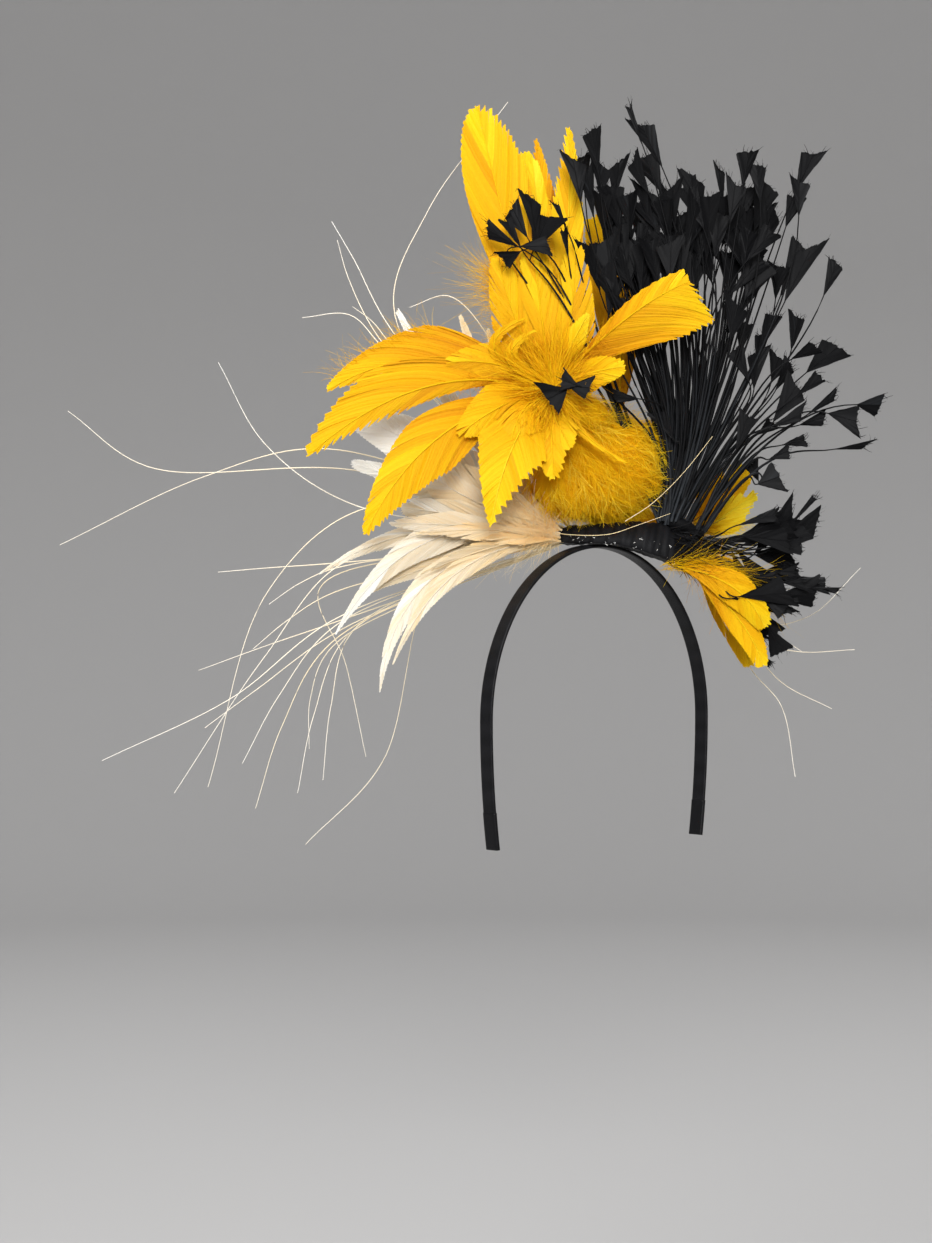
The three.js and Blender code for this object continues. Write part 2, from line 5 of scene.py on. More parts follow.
import bpy
import numpy as np
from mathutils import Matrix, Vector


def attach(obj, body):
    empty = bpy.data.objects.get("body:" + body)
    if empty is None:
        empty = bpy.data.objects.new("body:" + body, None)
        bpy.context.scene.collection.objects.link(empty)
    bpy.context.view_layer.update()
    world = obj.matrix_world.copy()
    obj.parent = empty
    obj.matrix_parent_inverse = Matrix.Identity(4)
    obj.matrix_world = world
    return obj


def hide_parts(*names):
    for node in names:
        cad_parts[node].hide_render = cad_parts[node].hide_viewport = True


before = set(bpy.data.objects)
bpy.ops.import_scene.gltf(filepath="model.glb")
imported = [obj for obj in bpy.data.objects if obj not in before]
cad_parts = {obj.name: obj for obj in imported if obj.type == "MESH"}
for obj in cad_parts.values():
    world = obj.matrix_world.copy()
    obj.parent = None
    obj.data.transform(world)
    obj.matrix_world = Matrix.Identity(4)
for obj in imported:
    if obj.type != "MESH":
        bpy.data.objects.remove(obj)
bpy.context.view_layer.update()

# Sizes in millimetres; the trim's are in a frame turned about the upright: across, away and up

TRIM_TURN = math.radians(140)
TURN = np.array([
    [math.cos(TRIM_TURN), math.sin(TRIM_TURN), 0],
    [-math.sin(TRIM_TURN), math.cos(TRIM_TURN), 0],
    [0, 0, 1],
])
TOWARD_VIEWER = np.array([0.0, -1.0, 0.0])
UPWARD = np.array([0.0, 0.0, 1.0])
GOLDEN_TURN = math.pi * (3 - math.sqrt(5))
MIRROR = [-1, 1, 1]
SEAT_GAP = 0.3

BAND_WIDTH = 8
BAND_THICK = 1.8
BAND_HALF_SPAN = 68
BAND_RISE = 80
BAND_DEPTH = 138
BAND_DROP = BAND_DEPTH - BAND_RISE
BAND_TIP_INSET = 4
BAND_LEG_STEPS = 30
BAND_SIDES = 40
WRAP_LENGTH = 16
WRAP_EXTRA = 0.4
WRAP_LAP = 0.8
WRAP_STEPS = 24

BASE_CENTRE_AWAY = 2
BASE_FALL = 0.008
BASE_ROWS = 90
BASE_SIDES = 72
BASE_SEED = 400
GLUE_SPECKS = 34

# Feather vanes: counts, lengths in millimetres and shares of the quill or the width

QUILL_HALF_WIDTH = 1.0
QUILL_SHARE = 0.1
QUILL_STEPS = 40
VANE_CUP = 0.12
VANE_START = 0.07
EDGE_STEPS = 160
TIP_STEPS = 40
BARB_PITCH = 0.42
BARB_HALF = 0.34
BARB_TAPER = np.array([1, 1, 1, 1, 0.95, 0.85, 0.55])
TUFTS = 80
TUFT_WIDTHS = [2.5, 10]
NOTCHES = 160
SHALLOW_SIDE = 0.35
STREAK = 0.09
SHAFT_END = 0.97
SHAFT_LIFT = 0.3
SHAFT_STEPS = 26
SHAFT_RADII = [0.62, 0.16]
SHAFT_TONES = [0.05, 0.3]
WISP_STEPS = 6

# Golden feathers and cream feathers: fluff is the number of downy strands near the root

PETAL_TONE_RUN = [-0.3, 0.18]
PETAL_FLUFF = 120
FLOWER_SEED = 100
FAR_SEED = 200
BACK_SEED = 300
LOW_FLUFF = 60
LOW_SEED = 320
FILL_TONE_RUN = [-0.1, 0.12]
FILL_FLUFF_FOR_WIDTH = 7
FILL_ROOT_SHARE = 0.6
FILL_SEED = 350
MIDDLE_STRANDS = 800
MIDDLE_SEED = 390
CREAM_STANDOFF = 1.3
CREAM_TONE_RUN = [-0.05, 0.27]
CREAM_TEETH = 0.5
CREAM_FOLD = 0.1
CREAM_STREAK = 0.07
CREAM_FLUFF = 90
CREAM_ROLL = 0.25
CREAM_SEED = 501
SOFT_FLUFF = 150
SOFT_ROLL = 0.6
SOFT_SEED = 550

# Balls of marabou: the plumes on each, the strands on a plume and how far a plume reaches

FLOWER_CENTRE = np.array([-23.0, -15.0, 74.0])
FLOWER_RADIUS = 8
FLOWER_FRONT = FLOWER_CENTRE + [2.0, -14.0, -2.0]
FAR_CENTRE = np.array([42.0, 34.0, 3.0])
FAR_RADIUS = 10.5
FAR_FOOT = np.array([31.3, 17.8, -1.7])
FAR_STALK_RADIUS = 2.2
FAR_STALK_STEPS = 8
BALL_COLUMNS = ["centre", "radii", "source", "plumes", "strands", "reach"]
PUFF_BALLS = [
    [[2.5, 3.0, 39.5], [31.0, 25.0, 26.5], FLOWER_CENTRE, 440, 26, 15],
    [FLOWER_CENTRE, [FLOWER_RADIUS + 1] * 3, FLOWER_FRONT, 90, 18, 12],
    [[-8.0, -9.0, 62.0], [14.0, 12.0, 10.0], FLOWER_CENTRE, 90, 20, 10],
    [[-14.0, -3.0, 30.0], [20.0, 16.0, 16.0], FLOWER_CENTRE, 120, 22, 12],
]
PUFF_SEED = 600
FAR_BALLS = [[FAR_CENTRE, [FAR_RADIUS] * 3, FAR_FOOT, 150, 24, 9]]
FAR_PUFF_SEED = 700
LOW_TUFT = [[29.0, -12.0, -9.0], [58.0, -9.0, -2.0], [75.0, 2.0, -22.0]]
LOW_TUFT_STEPS = 9
LOW_TUFT_STRANDS = 400

# Black sprays: the bound ridge of each, the neck that its quills pass through, the angles that they open
# between, and how many extra quills fill in among the dense rows of its table

UPPER_RIDGE = [[29, 0, 13], [38, 1, 11.5], [50, 3, 6]]
UPPER_RIDGE_RADIUS = 3.2
UPPER_NECK = np.array([[38.0, -6.0, 52.0], [71.0, -3.0, 45.0]])
UPPER_OPEN = [2.1, 0]
UPPER_DENSE_ROWS = 32
UPPER_EXTRA = 84
UPPER_SEED = 800
LEFT_NECK = np.array([[-8.0, -12.0, 104.0], [0.0, -10.0, 100.0]])
FRONT_STEM = np.array([2.0, 14.0, 0.0])
REAR_RIDGE = [[38, 11, 5.6], [42, 11, 2.6], [47, 10, -2]]
REAR_RIDGE_RADIUS = 2.4
REAR_NECK = np.array([[56.0, 9.0, 6.0], [58.0, 8.0, -12.0]])
REAR_OPEN = [0.6, -1]
REAR_DENSE_ROWS = 16
REAR_EXTRA = 24
REAR_SEED = 900
RIDGE_STEPS = 20
FUZZ_RUN = [33, 45]
FUZZ_STRANDS = 420
STEM_RADII = [0.78, 0.17]
STEM_STEPS = 15
RACHIS_STEPS = 3
WEDGE_NOTCH = [-0.04, 0.12]
WEDGE_SLANT = [-0.26, 0.26]
WEDGE_BARBS = 18
WEDGE_STEPS = 4
WEDGE_SIDE_SHARE = 0.6
WEDGE_BARB_ANGLE = math.radians(25)
EXTRA_REACH = [0.72, 0.94]
EXTRA_RIGHT_REACH = 0.08
EXTRA_RIGHT_RUN = 60
EXTRA_LENGTHS = [18, 27]
EXTRA_WIDTHS = [10, 16]

WHISKER_RADII = [0.36, 0.16]
WHISKER_HEAD_RADIUS = 1.2
WHISKER_STEPS = 22
STRAND_RADII = [0.17, 0.1]
STRAND_STEPS = 12

# Floor, lights and camera, in metres

FLOOR_DROP = 0.45
FLOOR_FLAT = 2.4
FLOOR_SWEEP = 1.0
FLOOR_SWEEP_STEPS = 14
FLOOR_SIDES = 64
WALL_HEIGHT = 3.6
FLOOR_SHADES = [(0.44, 0.435, 0.43, 1), (0.48, 0.475, 0.47, 1)]
WORLD_COLOUR = (0.9, 0.9, 0.92, 1)
WORLD_STRENGTH = 0.75
LIGHT_AIM = np.array([0.0, 0.0, 0.05])

# Soft lights: name, azimuth from the camera's, height, distance, size, watts and the angle of the beam

LIGHTS = [
    ["key_light", -30, 1.4, 1.6, 1.2, 29, 180],
    ["fill_light", 0, 0.6, 1.9, 0.6, 8, 80],
    ["back_light", 170, 2.0, 1.3, 1.2, 24, 180],
]
PHOTO_AZIMUTH = TRIM_TURN
CAMERA_AIM = [0.0475, -0.0399, -0.0345]
CAMERA_DISTANCE = 1.2
CAMERA_LENS = 73.9
CAMERA_SENSOR = 36

# Sections of the base from its front nose to its back end: place across, half depth, underside and top

BASE_SECTIONS = [
    [-23, 1.5, 5.5, 8],
    [-19, 5, 2.6, 9.6],
    [-13, 9.5, 1.6, 10.6],
    [-4, 14, 2.6, 11.2],
    [8, 16.5, 2.1, 12],
    [20, 17, -1.1, 12.6],
    [31, 15.5, -5.6, 11.5],
    [39, 11, -10, 7.5],
    [45, 4, -12, 0],
]

# Golden feathers: two points on the quill, the vane's full width, where along it is widest, the share of the
# width left at the tip and how steeply each half falls from the quill; then how the barbs lie: their angle to
# the quill, the depth of the cut edge (below zero where the right half is cut deeper), how far it parts, its
# tone, the share of width moved to the left half, how round the end is and, on one feather, how far the right
# half runs on

SHAPE_COLUMNS = ["mid", "tip", "wide", "widest", "blunt", "fold"]
LOOK_COLUMNS = ["lean", "teeth", "split", "tone", "skew", "round", "slant"]
PETAL_COLUMNS = ["name", *SHAPE_COLUMNS, *LOOK_COLUMNS]
FLOWER_PETALS = [
    ["tall_front", [-42, -20, 142], [-57, -14, 206], 30, 0.72, 0.1, 0.1, 16, -1.6, 0.2, 0.5, -0.05, 0.9],
    ["tall_second", [-29, -8, 136], [-35, -3, 186], 20, 0.7, 0.25, 0.1, 15, 0.8, 0.25, 0.6, 0, 0.4],
    # tall_back's low tone darkens it to orange-brown as painted shade for its place behind the others.
    ["tall_back", [-23, 4, 140], [-29, 11, 195], 14, 0.65, 0.1, 0.1, 14, 1.6, 0.6, 0.3, 0, 0.2],
    ["tall_right", [-15, -9, 142], [-14, -8, 197], 17, 0.6, 0.12, 0.1, 14, 2.4, 0.4, 0.62, 0.1, 0.2],
    ["tall_inner", [-27, -14, 132], [-31, -10, 181], 13, 0.7, 0.3, 0.1, 14, 0.8, 0.4, 0.6, 0, 0.4],
    ["left_upper", [-81, -27, 86], [-126, -31, 71], 25, 0.5, 0.06, 0.15, 14, 0.8, 0.6, 0.53, -0.3, 0.2],
    ["left_droop", [-83, -33, 72], [-135, -39, 40], 24, 0.66, 0.08, 0.15, 17, 3.4, 0.25, 0.52, -0.38, 0.4],
    ["left_pale", [-66, -19, 80], [-109, -17, 68], 16, 0.65, 0.3, 0.1, 16, 0.6, 0.4, 0.78, 0, 0.6],
    ["low_left", [-76, -40, 48], [-108, -47, 4], 29, 0.55, 0.05, 0.1, 22, 1.7, 0.2, 0.55, 0.05, 0.35],
    ["down", [-42, -43, 42], [-51, -47, 8], 34, 0.45, 0.03, 0.1, 34, 3.4, 0.12, 0.7, 0, 0.15],
    ["down_small", [-23, -32, 50], [-22, -35, 30], 16, 0.55, 0.3, 0.1, 32, 2.8, 0.2, 0.54, 0, 0.5],
    ["right_broad", [13, -38, 105], [40, -43, 120], 29, 0.72, 0.94, 0.2,
     26, -4.4, 0.12, 0.48, -0.52, 0.9, 0.17],
    ["right_small", [-3, -30, 80], [11, -35, 82], 14, 0.6, 0.35, 0.1, 24, 1.0, 0.2, 0.6, 0, 0.5],
    ["right_spur", [-13, -27, 94], [-6, -33, 107], 11, 0.6, 0.1, 0.1, 22, 0.8, 0.3, 0.7, 0, 0.2],
]
FAR_PETALS = [
    ["far_right", [62, 31, 16], [79, 30, 28], 20, 0.6, 0.15, 0.15, 26, 2.8, 0.5, 0.9, 0, 0.2],
    ["far_high", [60, 42, 26], [76, 44, 41], 20, 0.6, 0.35, 0.15, 26, 1.5, 0.3, 0.62, 0, 0.7],
    ["far_back", [66, 39, -14], [80, 40, -34], 20, 0.6, 0.4, 0.15, 22, 0.8, 0.3, 0.68, 0, 0.6],
    ["far_low", [64, 48, -26], [77, 46, -57], 15, 0.6, 0.3, 0.15, 22, 0.8, 0.3, 0.56, 0, 0.6],
    ["far_side", [42, 66, 12], [38, 96, 6], 22, 0.6, 0.35, 0.15, 26, 1.5, 0.3, 0.62, 0, 0.7],
    ["far_front", [18, 58, 16], [-2, 84, 18], 22, 0.6, 0.35, 0.15, 26, 1.5, 0.3, 0.62, 0, 0.7],
    ["far_rise", [34, 58, 38], [28, 78, 66], 22, 0.6, 0.35, 0.15, 26, 1.5, 0.3, 0.62, 0, 0.7],
]
BACK_PETAL = ["back_upright", [12, 38, 116], [1, 36, 163], 24, 0.65, 0.4, 0.1, 16, 0.8, 0.3, 0.5, 0, 0.8]
BACK_PETAL_ROOT = [10, 24.2, 53]

# Short soft feathers that fill the middle of the flower, then two narrow curled ones and a thin spike

FLOWER_FILL = [
    [[-38, -24, 102], [-48, -24, 134], 24, 0.5, 0.2, 0.2],
    [[-27, -25, 104], [-32, -26, 142], 26, 0.5, 0.2, 0.2],
    [[-14, -23, 104], [-12, -23, 140], 24, 0.5, 0.2, 0.2],
    [[-48, -25, 84], [-72, -29, 84], 22, 0.5, 0.1, 0.2],
    [[-46, -33, 64], [-66, -40, 50], 24, 0.5, 0.1, 0.2],
    [[-36, -34, 62], [-42, -40, 46], 26, 0.5, 0.1, 0.2],
    [[-20, -30, 58], [-14, -34, 44], 22, 0.5, 0.1, 0.2],
    [[-8, -28, 78], [6, -32, 80], 18, 0.5, 0.1, 0.2],
    [[-49, -27, 91], [-34, -28, 105], 6, 0.5, 0.2, 0.1],
    [[-41, -29, 88], [-29, -30, 99], 6, 0.5, 0.2, 0.1],
    [[-8, -29, 52], [12, -30, 38], 4, 0.3, 0.05, 0.1],
]
FILL_LOOK = [20, 0.6, 0.9, 0.5, 0, 0.4]

# Two golden feathers that hang from the back end of the base

LOW_ROOTS = [[37, -9, -9], [43, -6, -11]]
LOW_FEATHERS = [
    [[63, -11, -19], [78, -7, -38], 16, 0.55, 0.35, 0.2],
    [[66, -6, -34], [77, -4, -56], 13, 0.55, 0.35, 0.2],
]
LOW_LOOK = [22, 0.8, 0.3, 0.62, 0, 0.6]

# Loose down along an edge of a vane: which edge, where it starts and ends, its strands and their length

FRINGES = {
    "tall_front": [1, 0.03, 0.4, 1100, 18],
    "left_upper": [-1, 0.45, 0.95, 160, 9],
    "far_right": [-1, 0.2, 0.7, 120, 8],
}

# Pale feathers swept forward from the nose of the base; away and up place the root on the nose

CREAM_COLUMNS = ["away", "up", "mid", "tip", "wide", "widest", "blunt", "lean", "split", "tone"]
CREAM_FEATHERS = [
    [-4.5, 2.8, [-65, -19, -11], [-96, -24, -55], 10, 0.5, 0.02, 13, 0.2, 0.58],
    [-2.2, 2.6, [-78, -15, -15], [-102, -19, -68], 13, 0.52, 0.02, 13, 0.2, 0.64],
    [0.2, 2.6, [-70, -7, -6], [-107, -6, -21], 11, 0.52, 0.05, 13, 0.4, 0.5],
    [-3.4, 5.6, [-79, -13, 3], [-123, -13, -41], 15, 0.52, 0.02, 13, 0.2, 0.72],
    [3.0, 2.6, [-80, -2, 8], [-132, -2, -13], 11, 0.52, 0.02, 12, 0.4, 0.62],
    [6.0, 2.8, [-74, 8, 8], [-120, 11, -6], 12, 0.55, 0.05, 13, 0.4, 0.85],
    [-2.4, 8.0, [-54, -8, 20], [-82, -8, 36], 22, 0.6, 0.3, 26, 0.3, 0.58],
    [1.0, 5.4, [-58, 3, 17], [-93, 4, 18], 14, 0.6, 0.3, 20, 0.4, 0.64],
    [5.0, 5.6, [-69, 12, 25], [-117, 14, 41], 12, 0.65, 0.25, 16, 0.3, 0.8],
    [-0.4, 8.4, [-66, -3, 38], [-117, -6, 63], 24, 0.7, 0.3, 24, 0.2, 1.0],
    [1.6, 8.5, [-60, 3, 56], [-95, 4, 113], 8, 0.65, 0.2, 12, 0.3, 0.75],
    [3.6, 8.3, [-46, 7, 60], [-65, 9, 111], 7, 0.65, 0.2, 12, 0.2, 0.35],
    [5.6, 8.1, [-37, 10, 58], [-52, 12, 105], 6, 0.65, 0.2, 12, 0.2, 0.35],
]

# Softer pale feathers that fill the space between them at the nose

CREAM_FILL = [
    [-2.4, 8.0, [-51, -6, 21], [-80, -6, 40], 27, 0.55, 0.25, 24, 0.6, 0.48],
    [-1.0, 8.2, [-44, -4, 23], [-67, -4, 46], 25, 0.55, 0.25, 26, 0.6, 0.5],
    [-3.2, 8.2, [-37, -8, 21], [-53, -10, 42], 22, 0.5, 0.25, 28, 0.7, 0.42],
    [-3.8, 7.0, [-58, -11, 14], [-92, -11, 19], 15, 0.6, 0.3, 20, 0.7, 0.6],
    [-4.2, 6.0, [-60, -13, 10], [-98, -14, 11], 14, 0.55, 0.1, 18, 0.7, 0.56],
    [-4.6, 4.6, [-46, -14, 8], [-86, -18, 6], 16, 0.45, 0.03, 18, 0.9, 0.36],
    [-4.8, 3.2, [-46, -15, 1], [-84, -20, -13], 14, 0.45, 0.03, 17, 0.9, 0.38],
    [2.2, 5.8, [-56, 6, 24], [-100, 8, 30], 20, 0.6, 0.3, 20, 0.5, 0.65],
    [3.4, 4.2, [-62, 6, 2], [-108, 8, -14], 15, 0.6, 0.2, 16, 0.5, 0.6],
]

# Trimmed black quills: the end of the wedge, its length and full width, and its angle up from across

QUILL_COLUMNS = ["across", "away", "up", "long", "wide", "lean"]
UPPER_QUILLS = [
    [14, -4, 208, 26, 3, 108],
    [-4, -16, 193, 21, 12, 100],
    [-13, -24, 180, 23, 12, 100],
    [-7, -4, 185, 20, 9, 93],
    [0, -14, 179, 18, 13, 92],
    [10, -2, 182, 19, 10, 83],
    [15, -10, 182, 20, 12, 115],
    [13, -16, 165, 20, 14, 95],
    [24, -6, 167, 20, 12, 87],
    [31, 4, 172, 22, 6, 91],
    [34, -14, 168, 22, 11, 94],
    [43, -6, 174, 28, 14, 99],
    [52, -12, 165, 34, 13, 87],
    [57, 2, 180, 20, 5, 97],
    [70, -10, 185, 18, 11, 80],
    [71, 6, 171, 22, 10, 78],
    [67, 10, 151, 21, 9, 90],
    [79, 12, 164, 30, 15, 73],
    [81, -14, 148, 21, 10, 50],
    [103, 6, 188, 22, 11, 65],
    [-7, -20, 142, 26, 15, 107],
    [3, -16, 144, 27, 15, 96],
    [13, -12, 143, 26, 15, 90],
    [0, -18, 132, 26, 16, 111],
    [20, -8, 137, 22, 13, 87],
    [28, 2, 142, 21, 10, 83],
    [-7, -17, 116, 22, 10, 86],
    [46, -4, 136, 18, 11, 84],
    [38, 8, 148, 21, 10, 97],
    [6, -10, 162, 22, 13, 90],
    [20, 4, 162, 22, 13, 90],
    [44, 6, 157, 22, 11, 96],
    [100, -4, 141, 29, 15, 64],
    [86, 8, 135, 18, 11, 87],
    [97, 12, 144, 27, 11, 68],
    [111, -8, 133, 18, 9, 68],
    [63, -16, 115, 20, 15, 82],
    [83, 4, 110, 20, 9, 68],
    [96, 14, 112, 18, 14, 79],
    [101, -14, 93, 14, 10, 26],
    [113, 4, 95, 19, 15, 40],
    [64, -6, 95, 19, 10, 110],
    [76, 0, 93, 19, 11, 82],
    [87, 12, 92, 14, 13, 74],
    [111, -6, 72, 18, 5, 36],
    [94, 2, 77, 23, 15, 56],
    [96, -10, 63, 17, 12, 23],
    [134, 8, 68, 12, 13, 0],
    [123, -2, 59, 16, 16, -17],
    [130, 12, 50, 19, 4, 9],
    [84, -10, 33, 11, 16, 19],
    [69, -18, 62, 19, 12, 71],
    [84, 6, 59, 10, 9, 32],
    [73, 8, 41, 10, 8, 111],
    [80, 14, 104, 19, 10, 77],
    [70, 10, 109, 18, 10, 82],
    [27, -12, 63, 16, 9, 121],
    [6.4, -18, 69.9, 12, 10, 174],
    [104, -8, 80, 15, 9, 38],
    [92, 8, 88, 16, 9, 60],
    [107, 4, 62, 13, 8, 18],
    [99, 10, 52, 12, 8, 14],
    [90, -2, 46, 11, 8, 24],
]
LEFT_QUILLS = [
    [-41, -33, 155, 16, 10, 117],
    [-33, -32, 160, 22, 10, 100],
    [-24, -31, 152, 19, 19, 66],
    [-52, -33, 145, 17, 9, 150],
    [-45, -34, 150, 17, 7, 121],
    [-46, -36, 130, 11, 11, -152],
    [-24, -34, 137, 14, 11, 0],
    [-21, -30, 157, 15, 3, 114],
    [-17, -28, 146, 15, 4, 99],
]
FRONT_QUILLS = [
    [-25.4, -40, 66.4, 11, 20, -152],
    [-18.7, -43, 75.2, 8, 11.5, 160],
    [-5.7, -42, 71.6, 10, 12.5, -4],
]
REAR_QUILLS = [
    [104, 4, 13, 18, 14, 21],
    [102, 2, 24, 23, 3, 49],
    [95, -4, 1, 12, 11, 3],
    [83, -8, 16, 20, 8, 17],
    [84, -2, 9, 18, 11, 10],
    [94, 4, -11, 10, 9, 0],
    [97, -2, -17, 12, 6, -5],
    [113, 0, -20, 16, 3, -7],
    [94, 2, -22, 16, 8, 9],
    [88, -6, -29, 12, 11, -25],
    [87, 4, -49, 15, 15, -62],
    [76, 8, -42, 13, 6, -77],
    [82, 6, -55, 6, 4, -49],
    [87, 6, -6, 14, 10, -13],
    [85, -4, -15, 13, 9, -5],
    [79, -2, -30, 13, 8, -65],
]

# Stripped pale filaments: three points that each passes after its root

UPPER_WHISKERS = [
    [[-116, 22, 38], [-215, 28, 40], [-254, 30, 67]],
    [[-130, 34, 49], [-190, 44, 36], [-261, 50, 3]],
    [[-116, 40, 22], [-160, 46, 52], [-183, 46, 92]],
    [[-98, 28, 106], [-116, 32, 140], [-127, 34, 159]],
    [[-102, 38, 100], [-119, 46, 132], [-125, 48, 152]],
    [[-98, 48, 100], [-108, 56, 113], [-118, 60, 121]],
    [[-101, 24, 96], [-118, 28, 113], [-141, 30, 112]],
    [[-96, 20, 112], [-80, 24, 163], [-42, 26, 215]],
    [[-48, 18, 96], [-70, 20, 121], [-89, 22, 116]],
]
LOWER_WHISKERS = [
    [[-109, 22, 20], [-157, 24, -20], [-186, 26, -114]],
    [[-119, 30, -5], [-160, 38, -52], [-204, 42, -118]],
    [[-124, 20, -33], [-174, 20, -71], [-236, 20, -101]],
    [[-122, 44, -38], [-165, 54, -68], [-191, 60, -87]],
    [[-126, 28, -44], [-151, 34, -85], [-164, 36, -125]],
    [[-126, 36, -46], [-138, 46, -72], [-139, 52, -97]],
    [[-134, 58, -18], [-122, 68, -55], [-112, 74, -102]],
    [[-128, 52, -6], [-160, 62, -8], [-185, 66, -10]],
    [[-136, 64, -38], [-160, 72, -46], [-196, 78, -59]],
    [[-78, 72, -16], [-104, 84, -105], [-143, 88, -147]],
    [[-118, 34, -40], [-136, 40, -80], [-144, 42, -118]],
    [[-124, 26, -36], [-152, 30, -70], [-170, 32, -103]],
    [[-116, 40, -38], [-128, 46, -76], [-132, 48, -112]],
    [[-124, 46, -8], [-144, 52, -16], [-159, 56, -26]],
    [[-126, 50, -20], [-150, 56, -34], [-167, 58, -48]],
]
BACK_WHISKERS = [
    [[80, 50, -35], [104, 36, -32], [126, 16, -9]],
    [[76, 50, -36], [92, 46, -43], [101, 40, -49]],
    [[77, 50, -42], [98, 36, -49], [124, 22, -48]],
    [[78, 52, -58], [92, 46, -76], [98, 40, -110]],
    [[76, 52, -44], [92, 48, -64], [116, 42, -77]],
]

# Each bundle of filaments: its solid, the filaments, the head that binds them and its seed

WHISKERS = [
    ["whiskers_upper", UPPER_WHISKERS, [-12, 11.6, 8.9], 1000],
    ["whiskers_lower", LOWER_WHISKERS, [-14, 13.3, 3.4], 1100],
    ["whiskers_back", BACK_WHISKERS, [47, 41, -3], 1200],
]

# Two loose strands over the front of the base: all the points that each passes

BASE_STRANDS = [
    [[-22, -3, 7.4], [-13.4, -9.5, 6], [4.2, -15.4, 6], [17.6, -16, 10.2], [32.9, -14, 15.7]],
    [[11.8, -15.5, 12], [24, -15.5, 20], [38, -15, 33.5], [52.7, -13, 51.6]],
]


# Shared geometry


def named(columns, table):
    """The rows of a table as dictionaries with its column names."""
    return [dict(zip(columns, row)) for row in table]


def unit(vectors):
    """Vectors brought to length one."""
    return vectors / np.maximum(np.linalg.norm(vectors, axis=-1, keepdims=True), 1e-9)


def square_to(along, wanted):
    """The two directions square to a run: out, as near as can be to the one wanted, and side."""
    out = unit(wanted - along * np.sum(wanted * along, axis=-1, keepdims=True))
    return out, np.cross(out, along)


def bezier(controls, shares):
    """Points at shares of many Bezier curves at once; each control is shaped (curves, 3)."""
    layers = [np.asarray(control, float)[..., None, :] for control in controls]
    share = np.asarray(shares)[:, None]
    while len(layers) > 1:
        layers = [a + (b - a) * share for a, b in zip(layers, layers[1:])]
    return layers[0]


def smooth_through(points, steps):
    """A curve through points, eased by the roots of their distances, with equal steps in each stretch."""
    knots = np.asarray(points, float)
    ends = [2 * knots[:1] - knots[1:2], knots, 2 * knots[-1:] - knots[-2:-1]]
    knots = np.concatenate(ends)
    spans = np.sqrt(np.linalg.norm(np.diff(knots, axis=0), axis=1))
    share = np.linspace(0, 1, steps, endpoint=False)[:, None]
    run = []
    for i in range(1, len(knots) - 2):
        before, here, after, later = knots[i - 1:i + 3]
        first, middle, last = spans[i - 1:i + 2]
        leave = (here - before) / first - (after - before) / (first + middle) + (after - here) / middle
        arrive = (after - here) / middle - (later - here) / (middle + last) + (later - after) / last
        cubic = 2 * (here - after) + (leave + arrive) * middle
        square = 3 * (after - here) - (2 * leave + arrive) * middle
        run.append(here + leave * middle * share + square * share**2 + cubic * share**3)
    run.append(knots[-2:-1])
    return np.concatenate(run)


def toward(centre, point, distance):
    """The place so far from a centre on the way to a point."""
    return centre + unit(np.asarray(point, float) - centre) * distance


def ball_grid(rows, columns):
    """Angles down from the pole and round it, and the points of a unit ball there."""
    polar = np.linspace(0.02, math.pi - 0.02, rows)[:, None]
    turn = np.linspace(0, 2 * math.pi, columns, endpoint=False)[None]
    ring = np.sin(polar)
    ball = np.stack([ring * np.cos(turn), ring * np.sin(turn), np.cos(polar) + 0 * turn], axis=-1)
    return polar, turn, ball


